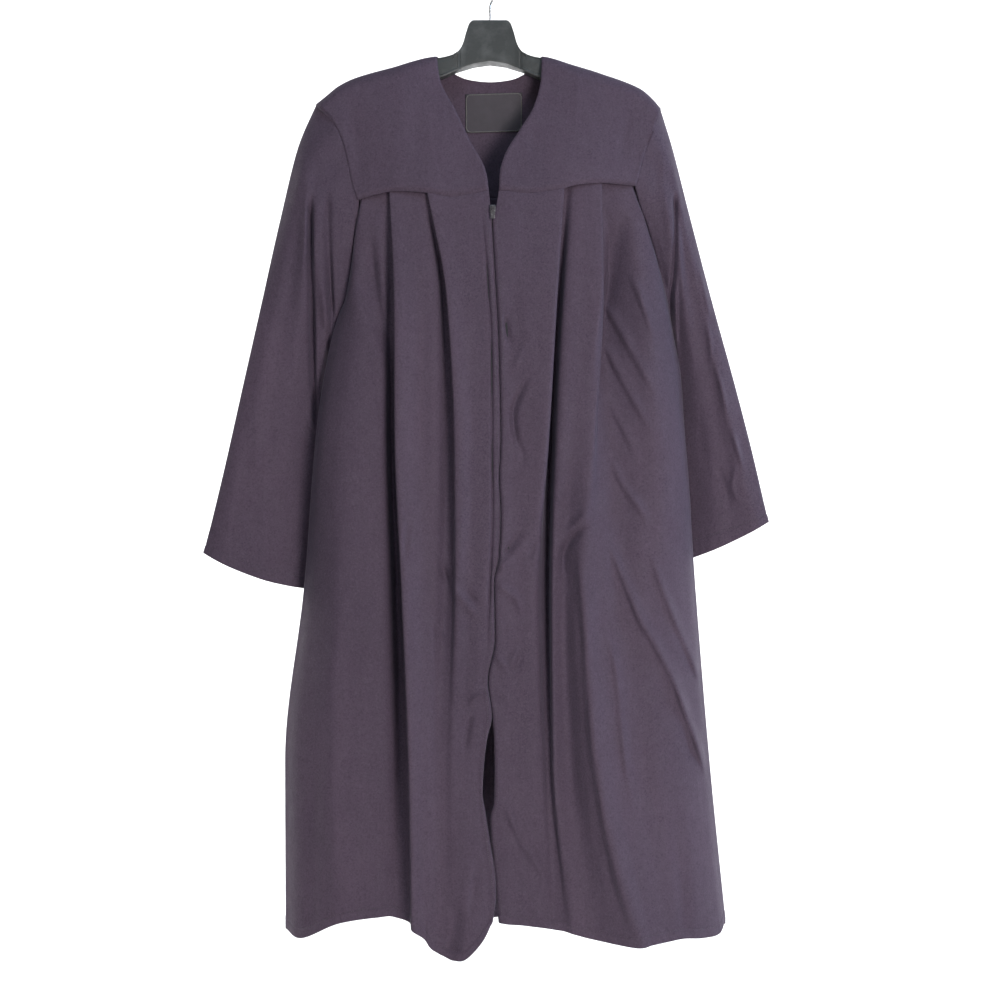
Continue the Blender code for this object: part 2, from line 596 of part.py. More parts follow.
def build_slider(collection, helpers, finishes):
    steel = finishes["slider"]
    front = SLIDER_BACK + SLIDER_THICK
    half = SLIDER_WIDTH / 2
    slider = box(
        "zip_slider",
        (SLIDER_ACROSS - half, SLIDER_BACK, SLIDER_TOP),
        (SLIDER_ACROSS + half, front, SLIDER_TOP + SLIDER_HEIGHT),
        collection,
        steel,
        bevel=SLIDER_BEVEL,
    )
    reach = BRIDGE_WIDTH / 2
    bridge_end = BRIDGE_TOP + BRIDGE_LENGTH
    over = box(
        "bridge",
        (SLIDER_ACROSS - reach, front - BRIDGE_SINK, BRIDGE_TOP),
        (SLIDER_ACROSS + reach, front + BRIDGE_GAP + BRIDGE_THICK, bridge_end),
        helpers,
        steel,
    )
    under = box(
        "under_bridge",
        (SLIDER_ACROSS - BRIDGE_WIDTH, front, BRIDGE_TOP + BRIDGE_LEG),
        (SLIDER_ACROSS + BRIDGE_WIDTH, front + BRIDGE_GAP, bridge_end - BRIDGE_LEG),
        helpers,
        steel,
    )
    join(slider, [over])
    join(slider, [under], "DIFFERENCE")


def build_pull(collection, helpers, finishes):
    """The pull hangs from its bar, which turns under the slider's bridge."""
    out = SLIDER_BACK + SLIDER_THICK + BRIDGE_GAP / 2
    half = PULL_WIDTH / 2
    pull = box(
        "zip_pull",
        (SLIDER_ACROSS - half, out - PULL_THICK / 2, PIVOT_DOWN - PULL_BAR_RADIUS),
        (SLIDER_ACROSS + half, out + PULL_THICK / 2, PIVOT_DOWN + PULL_LENGTH),
        collection,
        finishes["slider"],
        bevel=PULL_BEVEL,
    )
    hole = box(
        "pull_hole",
        (SLIDER_ACROSS - PULL_HOLE_WIDTH / 2, out - PULL_THICK, PIVOT_DOWN + PULL_BAR_RADIUS),
        (SLIDER_ACROSS + PULL_HOLE_WIDTH / 2, out + PULL_THICK, PIVOT_DOWN + PULL_HOLE_LENGTH),
        helpers,
        finishes["slider"],
    )
    join(pull, [hole], "DIFFERENCE")


def build_label(collection, finish):
    """A bare woven label on the inside of the back yoke, made from the yoke's own form."""
    inset = WALL / 2 + LABEL_GAP + LABEL_WALL / 2
    middle = (LABEL_LEFT + LABEL_RIGHT) / 2
    grid = []
    for across in np.linspace(LABEL_LEFT, LABEL_RIGHT, LABEL_COLUMNS):
        column = []
        for down in np.linspace(LABEL_TOP, LABEL_BOTTOM, LABEL_ROWS):
            tilted = down + LABEL_TILT * (across - middle)
            column.append((across, yoke_out(across, tilted) + SEAM_GAP / 2, tilted))
        grid.append(column)
    inside = moved_in(np.array(grid), inset)
    cloth("neck_label", to_world(inside, back=True), collection, finish, LABEL_WALL)


def hanger_section(top, bottom, half, flange):
    """(out, down) round a section: a round top, straight sides and a flange at the back."""
    points = []
    height = bottom - top
    crown = min(half, height / 2)
    ease = crown * 0.5
    steps = HANGER_CORNER_STEPS
    for k in range(2 * steps + 1):
        angle = math.pi * k / (2 * steps)
        points.append((half * math.cos(angle), top + crown - crown * math.sin(angle)))
    points.append((-half, bottom - ease - FLANGE_RISE))
    for k in range(steps // 2 + 1):
        angle = math.pi / 2 * k / (steps // 2)
        back = flange - FLANGE_EDGE * (1 - math.cos(angle))
        points.append((-back, bottom - FLANGE_EDGE * (1 - math.sin(angle))))
    for k in range(steps // 2 + 1):
        angle = math.pi / 2 * k / (steps // 2)
        points.append((half - ease * (1 - math.sin(angle)), bottom - ease * (1 - math.cos(angle))))
    return points


def build_hanger(collection, helpers, finishes):
    sections = []
    for across, top, bottom, half, flange in HANGER_SECTIONS:
        for place in {across, -across}:
            under_cloth = shoulder_down(place) + ARM_BELOW_CLOTH
            sections.append((place, hanger_section(top or under_cloth, bottom, half, flange)))
    sections.sort(key=lambda section: section[0])
    count = len(sections[0][1])
    points = [(across, out, down) for across, ring in sections for out, down in ring]
    faces = []
    for i in range(len(sections) - 1):
        for k in range(count):
            here, along = i * count + k, i * count + (k + 1) % count
            faces.append((here, along, along + count, here + count))
    faces.append(tuple(range(count - 1, -1, -1)))
    faces.append(tuple((len(sections) - 1) * count + k for k in range(count)))
    mesh = bpy.data.meshes.new("hanger_body")
    mesh.from_pydata(to_world(points).tolist(), [], faces)
    bm = bmesh.new()
    bm.from_mesh(mesh)
    bmesh.ops.recalc_face_normals(bm, faces=bm.faces)
    bm.to_mesh(mesh)
    bm.free()
    mesh.shade_smooth()
    hanger = add_object("hanger_body", mesh, collection, finishes["plastic"])
    bpy.ops.mesh.primitive_cylinder_add(
        vertices=SOCKET_SIDES,
        radius=(WIRE_RADIUS + LAYER_GAP) * MM,
        depth=2 * SOCKET_DEPTH * MM,
        location=(0, 0, -HANGER_SECTIONS[0][1] * MM),
    )
    socket = bpy.context.object
    socket.name = "hook_socket"
    for other in list(socket.users_collection):
        other.objects.unlink(socket)
    helpers.objects.link(socket)
    join(hanger, [socket], "DIFFERENCE")


def build_hook(collection, finish):
    """One bent wire: up out of the plate, out to the right, and over to an open end."""
    centre_down = HOOK_RADIUS - WIRE_RADIUS
    route = list(HOOK_WIRE)
    for degrees in range(HOOK_START, HOOK_END, HOOK_STEP):
        angle = math.radians(degrees)
        route.append((HOOK_RADIUS * math.cos(angle), centre_down - HOOK_RADIUS * math.sin(angle)))
    curve = bpy.data.curves.new("hanger_hook", "CURVE")
    curve.dimensions = "3D"
    curve.bevel_depth = WIRE_RADIUS * MM
    curve.bevel_resolution = 2
    curve.use_fill_caps = True
    line = curve.splines.new("POLY")
    line.points.add(len(route) - 1)
    for point, (across, down) in zip(line.points, route):
        point.co = (across * MM, 0, -down * MM, 1)
    add_object("hanger_hook", curve, collection, finish)


def main():
    for obj in list(bpy.data.objects):
        bpy.data.objects.remove(obj, do_unlink=True)
    gown = bpy.data.collections.new("graduation_gown")
    helpers = bpy.data.collections.new("cutters")
    bpy.context.scene.collection.children.link(gown)
    bpy.context.scene.collection.children.link(helpers)
    finishes = {
        "cloth": material("black_polyester", (0.078, 0.064, 0.082), 0.72),
        "tape": material("zip_tape", (0.02, 0.018, 0.022), 0.8),
        "teeth": material("zip_teeth", (0.015, 0.014, 0.016), 0.5),
        "slider": material("painted_zinc", (0.11, 0.105, 0.11), 0.4, 0.6),
        "label": material("woven_label", (0.035, 0.032, 0.036), 0.8),
        "plastic": material("black_plastic", (0.055, 0.056, 0.054), 0.45),
        "steel": material("bright_steel", (0.62, 0.62, 0.62), 0.25, 1.0),
    }
    for side in ("left", "right"):
        pieces = (
            (f"yoke_front_{side}", yoke_front_points(side), False),
            (f"front_{side}", front_points(side), False),
            (f"sleeve_{side}", sleeve_points(side), True),
        )
        for name, points, closed in pieces:
            cloth(name, to_world(points), gown, finishes["cloth"], closed=closed)
    cloth("yoke_back", to_world(yoke_back_points(), back=True), gown, finishes["cloth"])
    cloth("back", to_world(back_points(), back=True), gown, finishes["cloth"])
    build_zip(gown, finishes)
    build_slider(gown, helpers, finishes)
    build_pull(gown, helpers, finishes)
    build_label(gown, finishes["label"])
    build_hanger(gown, helpers, finishes)
    build_hook(gown, finishes["steel"])


main()
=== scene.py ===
"""The looks of the graduation gown on its hanger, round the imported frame.

Every soft piece repeats the part's own tables and curves, in millimetres (across, out, down), at a
finer step and as a thinner wall. Creases, turned hems and stitching are laid on top of that.
"""

import math

import bmesh
import bpy
import numpy as np
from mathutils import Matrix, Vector, noise


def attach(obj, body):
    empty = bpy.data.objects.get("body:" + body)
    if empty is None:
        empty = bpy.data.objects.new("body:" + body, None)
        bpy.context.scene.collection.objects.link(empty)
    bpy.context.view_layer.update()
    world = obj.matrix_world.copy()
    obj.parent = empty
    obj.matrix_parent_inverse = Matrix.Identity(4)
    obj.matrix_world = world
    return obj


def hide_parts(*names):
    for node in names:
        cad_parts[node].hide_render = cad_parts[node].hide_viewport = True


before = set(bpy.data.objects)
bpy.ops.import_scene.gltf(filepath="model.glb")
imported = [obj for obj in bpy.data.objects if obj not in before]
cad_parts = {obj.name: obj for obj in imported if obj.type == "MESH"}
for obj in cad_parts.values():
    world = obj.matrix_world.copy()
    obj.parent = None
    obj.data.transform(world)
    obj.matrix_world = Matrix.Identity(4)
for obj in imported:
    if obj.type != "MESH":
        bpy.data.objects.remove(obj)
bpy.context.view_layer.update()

MM = 0.001

# Driving sizes, in millimetres
SEAM_GAP = 0.8
LAYER_GAP = 0.3
SHOULDER_RADIUS = 21.0
NECK_RADIUS = 13.0
NECK_HALF_WIDTH = 76.0
NECK_EASE = 50.0
CHEST_DOWN, WAIST_DOWN, HIP_DOWN, KNEE_DOWN = 481.0, 684.0, 902.0, 1148.0
UNDERARM_DOWN = CHEST_DOWN
SIDE_SEAM_OUT = 0.7
TAPE_WALL = 1.0
TAPE_INNER, TAPE_OUTER = 3.0, 13.0
ZIP_TOP, ZIP_END = 356.0, 1030.0
ZIP_MEETS = 372.0
CHAIN_THICK = 1.6
LABEL_LEFT, LABEL_RIGHT, LABEL_TOP, LABEL_BOTTOM = -36.0, 47.0, 177.0, 232.0
LABEL_TILT = -0.03
WIRE_RADIUS = 1.5
HOOK_RADIUS = 24.0
HOOK_START, HOOK_END = -35, 200

# The shoulder line over the hanger, from the neck to the sleeve: across, down
SHOULDER = {
    "left": ((-77, 129), (-140, 145), (-196, 161), (-220, 173), (-236, 186), (-252, 199)),
    "right": ((75, 129), (118, 141), (160, 154), (217, 176), (236, 192), (247, 205)),
}
# The edge of the V neck, from the shoulder to the yoke seam: across, down
NECK = {
    "left": ((-77, 129), (-72, 165), (-50, 211), (-28.5, 257), (-5, 305), (-1.5, 330)),
    "right": ((75, 129), (73.5, 165), (64, 204), (43, 241), (21, 279), (14, 306), (13, 330)),
}
# The yoke seam, from the centre front to the armhole: across, down
YOKE_SEAM = {
    "left": ((-1.5, 330), (-28, 336), (-57, 339), (-92, 333), (-135, 330), (-164, 334), (-190, 341)),
    "right": ((13, 330), (50, 334), (92, 330), (128, 321), (164, 318), (210, 321)),
}
# The armhole beside the yoke, from the shoulder to the yoke seam: across, down
ARMHOLE = {
    "left": ((-252, 199), (-229, 222), (-218, 242), (-208, 269), (-198, 318), (-190, 341)),
    "right": ((247, 205), (235, 240), (222, 275), (210, 321)),
}
# How far out the yoke stands along its seam: share of the way from the centre to the armhole, out
YOKE_FULLNESS = ((0.0, 48.0), (0.45, 46.5), (0.72, 41.0), (1.0, 29.0))
# The back neck, from the left shoulder to the right one: across, down
BACK_NECK = ((-77, 129), (-58, 146), (-30, 158), (0, 161), (30, 158), (56, 146), (75, 129))

# The two front edges, down the zip and the slit below it: down, across
FRONT_EDGE = {
    "left": (
        (330, -1.5), (356, 1.0), (372, 2.5), (400, 4.2), (464, 8), (539, 12), (686, 15), (742, 13),
        (785, 15), (848, 13), (887, 6), (969, 7), (1025, -3), (1077, 3), (1104, -3),
        (1140, -8), (1183, -10), (1210, -6), (1258, 1.5), (1291, 7), (1325, 9), (1362, 4),
    ),
    "right": (
        (330, 13), (356, 8.7), (372, 4.2), (400, 5.1), (464, 8.9), (539, 12.9), (686, 15.8), (742, 13.8),
        (785, 15.8), (848, 13.8), (887, 6.8), (969, 7.8), (1025, -2.2), (1077, 3.8), (1104, 6),
        (1152, 7), (1197, 6), (1219, 1), (1245, 1.5), (1267, 4), (1328, 9), (1366, 13),
    ),
}

# The side seams, from the yoke seam to the hem: down, across
SIDE_SEAM = {
    "left": (
        (341, -190), (481, -210), (500, -218), (540, -230), (590, -240), (640, -248), (684, -253),
        (742, -258), (844, -265), (902, -270), (1148, -297), (1392, -296),
    ),
    "right": (
        (321, 210), (481, 257), (534, 266), (589, 276), (670, 282), (742, 288), (844, 294),
        (902, 298), (1148, 318), (1378, 341),
    ),
}

# The fold lines of each front, from the front edge to the side seam.
# fold line, hem down, then across and out at the yoke seam, chest, waist, hip, knee and hem
FRONT_FOLDS = {
    "left": (
        ("front edge", 1362, (-1.5, 8, 15, 6, -8, 4), (48, 54, 60, 66, 74, 84)),
        ("edge roll", 1389, (-14, -5, 2, -7, -22, -10), (49, 56, 62, 69, 76, 92)),
        ("front middle", 1413, (-50, -36, -24, -28, -38, -33), (48, 56, 61, 67, 76, 94)),
        ("inner pleat edge", 1416, (-88, -61, -49, -47, -52, -50), (47, 58, 65, 68, 76, 88)),
        ("inner pleat under", 1412, (-79, -54, -50, -53, -62, -62), (43, 42, 46, 57, 73, 84)),
        ("inner pleat back", 1407, (-91, -67, -61, -64, -75, -72), (39, 31, 40, 53, 73, 84)),
        ("band fold", 1399, (-99, -76, -74, -78, -86, -83), (39, 46, 55, 64, 78, 87)),
        ("band", 1386, (-118, -103, -99, -94, -94, -92), (39.5, 51, 59, 68, 81, 88)),
        ("outer pleat edge", 1374, (-143, -135, -133, -123, -113, -108), (38.5, 54, 67, 78, 88, 92)),
        ("outer pleat under", 1366, (-134, -129, -129, -120, -113, -112), (34.5, 34, 34, 40, 58, 76)),
        ("outer pleat back", 1362, (-146, -142, -142, -134, -128, -129), (30.5, 22, 13, 18, 42, 67)),
        ("side fold", 1359, (-160, -156, -155, -152, -152, -152), (29.5, 31, 42, 52, 62, 72)),
        ("side middle", 1368, (-176, -184, -204, -212, -222, -212), (29, 31, 48, 57, 63, 72)),
        ("side front", 1396, (-186, -203, -238, -250, -272, -268), (29, 20, 30, 34, 38, 42)),
        ("side seam", 1392, (-190, -210, -253, -270, -297, -296), (29, 0, 0, 0, 0, 0)),
    ),
    "right": (
        ("front edge", 1366, (13, 8.8, 15.8, 6.8, 7, 13), (48, 54, 60, 65, 70, 74)),
        ("edge roll", 1368, (26, 21, 28, 19, 20, 27), (49, 56, 62, 67, 72, 77)),
        ("front middle", 1370, (60, 52, 48, 40, 42, 48), (48, 57, 61, 64, 69, 75)),
        ("inner pleat edge", 1374, (104, 94, 82, 65, 70, 80), (47, 60, 66, 63, 67, 76)),
        ("inner pleat under", 1377, (98, 89, 80, 75, 80, 92), (42, 42, 38, 42, 56, 72)),
        ("inner pleat back", 1379, (110, 99, 88, 84, 87, 106), (36, 26, 18, 28, 54, 73)),
        ("band fold", 1382, (121, 107, 95, 88.5, 92, 120), (38.5, 52, 58, 60, 68, 79)),
        ("band", 1390, (140, 134, 120, 107, 116, 152), (39.5, 54, 60, 55, 59, 80)),
        ("outer pleat edge", 1396, (159, 161, 146, 128, 146, 205), (38.5, 54, 62, 75, 90, 98)),
        ("outer pleat under", 1394, (150, 152, 154, 158, 180, 228), (34.5, 37, 50, 68, 80, 90)),
        ("outer pleat back", 1392, (161, 167, 176, 190, 212, 250), (30.5, 25, 41, 57, 70, 80)),
        ("side hollow", 1390, (177, 194, 210, 223, 243, 274), (29.5, 32, 46, 57, 66, 70)),
        ("side middle", 1393, (193, 222, 243, 255, 274, 302), (29, 37, 47, 50, 54, 54)),
        ("side front", 1393, (206, 248, 270, 284, 303, 329), (29, 22, 27, 27, 28, 28)),
        ("side seam", 1378, (210, 257, 283, 298, 318, 341), (29, 0, 0, 0, 0, 0)),
    ),
}

# The fold lines of half the back, from the middle to the side seam. Across is a share of the
# way to that side seam, so that both halves reach theirs.
BACK_FOLDS = (
    ("centre back", 1394, (0, 0, 0, 0, 0, 0), (48, 47, 50, 57, 64, 70)),
    ("middle ridge", 1394, (0.17, 0.13, 0.11, 0.10, 0.10, 0.10), (48, 54, 62, 72, 82, 88)),
    ("inner pleat edge", 1394, (0.40, 0.29, 0.22, 0.20, 0.20, 0.20), (47, 57, 66, 76, 86, 92)),
    ("inner pleat under", 1392, (0.36, 0.26, 0.235, 0.235, 0.24, 0.25), (43, 46, 49, 56, 66, 76)),
    ("inner pleat back", 1390, (0.42, 0.33, 0.29, 0.28, 0.29, 0.31), (39, 38, 42, 50, 60, 70)),
    ("band", 1388, (0.56, 0.47, 0.40, 0.38, 0.38, 0.40), (39.5, 48, 54, 62, 71, 80)),
    ("outer pleat edge", 1388, (0.70, 0.60, 0.50, 0.48, 0.48, 0.49), (38.5, 52, 63, 74, 84, 90)),
    ("outer pleat under", 1386, (0.66, 0.57, 0.525, 0.525, 0.53, 0.54), (34.5, 40, 47, 54, 62, 70)),
    ("outer pleat back", 1386, (0.72, 0.64, 0.58, 0.58, 0.58, 0.60), (30.5, 31, 40, 47, 54, 62)),
    ("side hollow", 1386, (0.82, 0.73, 0.67, 0.67, 0.68, 0.70), (29.5, 34, 46, 56, 64, 72)),
    ("side middle", 1388, (0.91, 0.86, 0.82, 0.82, 0.83, 0.84), (29, 33, 44, 50, 54, 58)),
    ("side back", 1392, (0.97, 0.955, 0.95, 0.95, 0.95, 0.955), (29, 19, 27, 28, 30, 30)),
    ("side seam", 1386, (1, 1, 1, 1, 1, 1), (29, 0, 0, 0, 0, 0)),
)

# The sleeves' stations below the armhole.
# station, outer edge across, down and out, inner edge across, down and out
SLEEVE_STATIONS = {
    "left": (
        ("cap", (-277, 257, 0), (-232, 520, -5)),
        ("upper arm", (-305, 370, 1), (-232, 563, -25)),
        ("elbow", (-331, 487, 2), (-241, 614, -32)),
        ("forearm", (-359, 612, 3), (-250, 700, -36)),
        ("lower arm", (-385, 728, 3), (-257, 786, -37)),
        ("wrist", (-406, 815, 3), (-262, 858, -37)),
        ("cuff", (-415, 848, 3), (-264, 902, -37)),
    ),
    "right": (
        ("cap", (263, 257, 0), (270, 524, -12)),
        ("upper arm", (289, 358, 0), (271, 583, -30)),
        ("elbow", (321, 481, 0), (277, 641, -36)),
        ("forearm", (355, 605, 0), (280, 700, -38)),
        ("lower arm", (381, 706, 0), (280, 758, -38)),
        ("wrist", (398, 779, 0), (281, 812, -38)),
        ("cuff", (404, 803, 0), (281, 862, -38)),
    ),
}
# The sleeves' fold lines, round the sleeve from the outer edge over the front and back again.
# fold line, share of the way from the outer edge to the inner one at the armhole and at each
# station, then how far it stands out from the line between the two edges at each station
SLEEVE_FOLDS = (
    ("outer edge", (0, 0, 0, 0, 0, 0, 0, 0), (0, 0, 0, 0, 0, 0, 0)),
    ("front fold", (0.12, 0.14, 0.16, 0.17, 0.17, 0.17, 0.17, 0.17), (21, 19, 17, 15, 15, 14, 13)),
    ("front hollow", (0.26, 0.30, 0.34, 0.36, 0.37, 0.37, 0.37, 0.37), (26, 23, 20, 17, 16, 15, 14)),
    ("cap fold", (0.40, 0.46, 0.54, 0.58, 0.60, 0.60, 0.60, 0.60), (31, 29, 25, 21, 20, 18, 17)),
    ("cap hollow", (0.58, 0.66, 0.74, 0.79, 0.80, 0.80, 0.80, 0.80), (26, 20, 16, 13, 12, 12, 12)),
    ("under fold", (0.80, 0.86, 0.90, 0.93, 0.94, 0.94, 0.94, 0.94), (19, 14, 10, 8, 7, 7, 7)),
    ("inner edge", (1, 1, 1, 1, 1, 1, 1, 1), (0, 0, 0, 0, 0, 0, 0)),
    ("back under fold", (0.78, 0.82, 0.84, 0.86, 0.86, 0.86, 0.86, 0.86),
     (-19, -15, -13, -12, -12, -12, -12)),
    ("back fold", (0.50, 0.54, 0.56, 0.58, 0.58, 0.58, 0.58, 0.58), (-30, -27, -24, -22, -20, -19, -18)),
    ("back hollow", (0.26, 0.28, 0.30, 0.30, 0.30, 0.30, 0.30, 0.30), (-25, -23, -21, -18, -17, -16, -15)),
    ("back outer fold", (0.10, 0.11, 0.12, 0.12, 0.12, 0.12, 0.12, 0.12),
     (-19, -16, -14, -13, -12, -11, -10)),
)
# How far the cuff's edge hangs below the line between its two ends, at its middle
CUFF_SAG = {"left": 9.0, "right": 4.0}

# The hanger's sections from the middle of its neck plate to the end of an arm:
# across, top (none where it follows the shoulder), bottom, half its thickness, and how far
# back the flange along its lower edge reaches
HANGER_SECTIONS = (
    (0.0, 76, 136, 6.5, 25.0),
    (24.0, 76, 140, 6.5, 23.0),
    (29.5, 80, 142, 6.5, 21.5),
    (34.5, 93, 144, 6.5, 19.5),
    (39.0, 109, 146, 6.8, 17.0),
    (43.0, 117, 148, 7.4, 14.0),
    (47.5, 122, 150, 8.5, 11.5),
    (60.0, 127.5, 156, 9.5, 9.8),
    (78.0, None, 163, 10.3, 10.6),
    (100.0, None, 170, 13.5, 13.8),
    (130.0, None, 180, 17.5, 17.8),
    (160.0, None, 189, 18.0, 18.3),
    (196.0, None, 202, 18.0, 18.3),
    (216.0, None, 209, 16.0, 16.3),
    (226.0, None, 209, 11.0, 11.3),
)
# How far the top of an arm lies under the middle of the cloth that rests on it
ARM_BELOW_CLOTH = 2.2
FLANGE_RISE, FLANGE_EDGE = 4.5, 1.5

# The hook's wire from its end in the neck plate to where its round bend starts: across, down
HOOK_WIRE = ((0, 98), (0, 76), (0, 62), (0.5, 54), (4, 46.5), (10.5, 41))

SIGN = {"left": -1.0, "right": 1.0}


def smooth(knots, values, at):
    """A curve through the values at the knots that never swings past them."""
    knots = np.asarray(knots, float)
    values = np.asarray(values, float)
    at = np.clip(np.asarray(at, float), knots[0], knots[-1])
    step = np.diff(knots)
    rise = np.diff(values) / step
    slope = np.empty(len(knots))
    slope[0], slope[-1] = rise[0], rise[-1]
    before, after = rise[:-1], rise[1:]
    same_way = before * after > 0
    slope[1:-1] = np.where(same_way, 2 * before * after / np.where(same_way, before + after, 1), 0)
    i = np.clip(np.searchsorted(knots, at, side="right") - 1, 0, len(step) - 1)
    t = (at - knots[i]) / step[i]
    return (
        values[i] * (1 + 2 * t) * (1 - t) ** 2
        + slope[i] * step[i] * t * (1 - t) ** 2
        + values[i + 1] * t * t * (3 - 2 * t)
        + slope[i + 1] * step[i] * t * t * (t - 1)
    )


def rounded(lines, steps, closed=False):
    """Columns between fold lines, on a curve that bends evenly through them."""
    lines = np.asarray(lines, float)
    count = len(lines)
    columns = []
    for i in range(count if closed else count - 1):
        if closed:
            a, b, c, d = (lines[(i + k) % count] for k in (-1, 0, 1, 2))
        else:
            b, c = lines[i], lines[i + 1]
            a = lines[i - 1] if i else 2 * b - c
            d = lines[i + 2] if i + 2 < count else 2 * c - b
        for k in range(steps):
            t = k / steps
            columns.append(
                b
                + 0.5 * t * (c - a)
                + t * t * (a - 2.5 * b + 2 * c - 0.5 * d)
                + t**3 * (1.5 * (b - c) + 0.5 * (d - a))
            )
    if not closed:
        columns.append(lines[-1])
    return np.array(columns)


def shoulder_down(across):
    """Height of the shoulder line over a place, level between the two neck corners."""
    table = SHOULDER["left"][::-1] + SHOULDER["right"]
    return float(smooth([row[0] for row in table], [row[1] for row in table], across))


def yoke_out(across, down):
    """How far out the yoke stands: round over the hanger, then straight to its seam."""
    side = "left" if across < 0 else "right"
    seam = YOKE_SEAM[side]
    share = abs(across) / abs(seam[-1][0])
    at_seam = np.interp(share, [row[0] for row in YOKE_FULLNESS], [row[1] for row in YOKE_FULLNESS])
    widening = np.clip((abs(across) - NECK_HALF_WIDTH) / NECK_EASE, 0, 1)
    radius = NECK_RADIUS + (SHOULDER_RADIUS - NECK_RADIUS) * widening
    drop = max(down - shoulder_down(across), 0.0)
    over = 1 - min(drop / radius, 1.0)
    slope = (at_seam - radius) * min(drop / (seam_down(side)(across) - shoulder_down(across)), 1.0)
    return radius * math.sqrt(1 - over * over) + slope


def edge_across(table, down):
    """How far across a drawn edge lies at a height."""
    edge = np.asarray(table, float)
    return smooth(edge[:, 0], edge[:, 1], down)


def seam_down(side):
    """The yoke seam's height as a function of the place across."""
    table = sorted(YOKE_SEAM[side])
    return lambda across: float(smooth([row[0] for row in table], [row[1] for row in table], across))


def armhole_point(side, share):
    """(across, out, down) on the armhole, from the shoulder to under the arm."""
    yoke = ARMHOLE[side]
    seam = FRONT_FOLDS[side][-1]
    top, corner = yoke[0][1], yoke[-1][1]
    down = top + (UNDERARM_DOWN - top) * share
    if down < corner:
        across = float(smooth([row[1] for row in yoke], [row[0] for row in yoke], down))
        return np.array([across, yoke_out(across, down), down])
    levels = (corner, CHEST_DOWN, WAIST_DOWN)
    across = float(edge_across(SIDE_SEAM[side], down))
    return np.array([across, float(smooth(levels, seam[3][:3], down)), down])


# Finer rows and columns
# Rows near the top seam and the hem: how far below the seam, and how far above the hem
TOP_ROWS = (-4.0, -2.4, -0.9, 0.3, 1.6, 3.2, 5.2, 8.0, 11.5)
HEM_ROWS = (21.0, 18.5, 16.5, 15.0, 14.0, 13.2, 12.4, 11.4, 9.5, 7.0, 4.5, 2.4, 0.9, 0.0)
# How far above the hem its stitching runs, and the row that lies there
HEM_DEPTH = 13.2
HEM_LINE_ROW = -9
# How far behind the yoke the back's pleats are sewn, how far the front edges swell beside the
# zip, and how far from the middle plane each panel's edge lies in the side seams
SEWN_BEHIND = 2.2
EDGE_ROLL = 2.4
SEAM_MEETS = 0.32
CLOTH_THICK = 0.5
YOKE_THICK = 0.9
# How far the sleeve's inner edge runs in under the arm: across and back
UNDERARM_TUCK = (8.0, 7.0)


def soft_step(value):
    value = np.clip(value, 0, 1)
    return value * value * (3 - 2 * value)


def fine_downs(top, hem, rows):
    """Heights down a column, close together at the seam and at the turned hem."""
    middle = np.linspace(top + TOP_ROWS[-1], hem - HEM_ROWS[0], rows + 2)[1:-1]
    return np.concatenate([top + np.array(TOP_ROWS), middle, hem - np.array(HEM_ROWS)])


def fine_fold_lines(table, rows, top_down):
    lines = []
    for _, hem, across, out in table:
        top = top_down(across[0])
        levels = (top, CHEST_DOWN, WAIST_DOWN, HIP_DOWN, KNEE_DOWN, hem)
        down = fine_downs(top, hem, rows)
        lines.append(np.stack([smooth(levels, across, down), smooth(levels, out, down), down], axis=1))
    return np.array(lines)


def fine_hung(grid, seam):
    """The top of every column brought to the seam and tucked behind the yoke."""
    top = len(TOP_ROWS)
    fade = np.ones(grid.shape[1])
    fade[top:] = np.linspace(1, 0, grid.shape[1] - top)
    for column in grid:
        first = column[0, 2] - TOP_ROWS[0]
        column[:, 2] += (seam(column[0, 0]) - first) * fade
    tuck = np.interp(TOP_ROWS, (-4.0, -0.9, 1.6, 5.2, 11.5), (-2.0, -1.5, -0.5, 0.0, 0.0))
    grid[:, :top, 1] += tuck
    return grid


def fine_front(side, rows=220, steps=13):
    lines = fine_fold_lines(FRONT_FOLDS[side], rows, seam_down(side))
    lines[0, :, 0] = edge_across(FRONT_EDGE[side], lines[0, :, 2])
    lines[-1, :, 0] = edge_across(SIDE_SEAM[side], lines[-1, :, 2])
    lines[-1, :, 1] += SIDE_SEAM_OUT
    return fine_hung(rounded(lines, steps), seam_down(side))


def fine_back(rows=150, steps=7):
    halves = []
    for side in ("left", "right"):
        seam = FRONT_FOLDS[side][-1][2]
        table = [
            (name, hem, [share * reach for share, reach in zip(across, seam)], out)
            for name, hem, across, out in BACK_FOLDS
        ]
        half = fine_fold_lines(table, rows, seam_down(side))
        half[-1, :, 0] = edge_across(SIDE_SEAM[side], half[-1, :, 2])
        half[-1, :, 1] += SIDE_SEAM_OUT
        halves.append(half)
    left, right = halves
    centre = (left[:1] + right[:1]) / 2
    grid = rounded(np.concatenate([left[:0:-1], centre, right[1:]]), steps)

    def seam(across):
        return seam_down("left" if across < 0 else "right")(across)

    grid = fine_hung(grid, seam)
    held = np.interp(TOP_ROWS, (-4.0, 1.6, 11.5), (1.0, 1.0, 0.0))
    for column in grid:
        across = column[0, 0]
        behind = yoke_out(across, seam(across) + 0.7) - SEWN_BEHIND
        top = column[: len(TOP_ROWS), 1]
        top += np.maximum(behind - top, 0.0) * held
    return grid


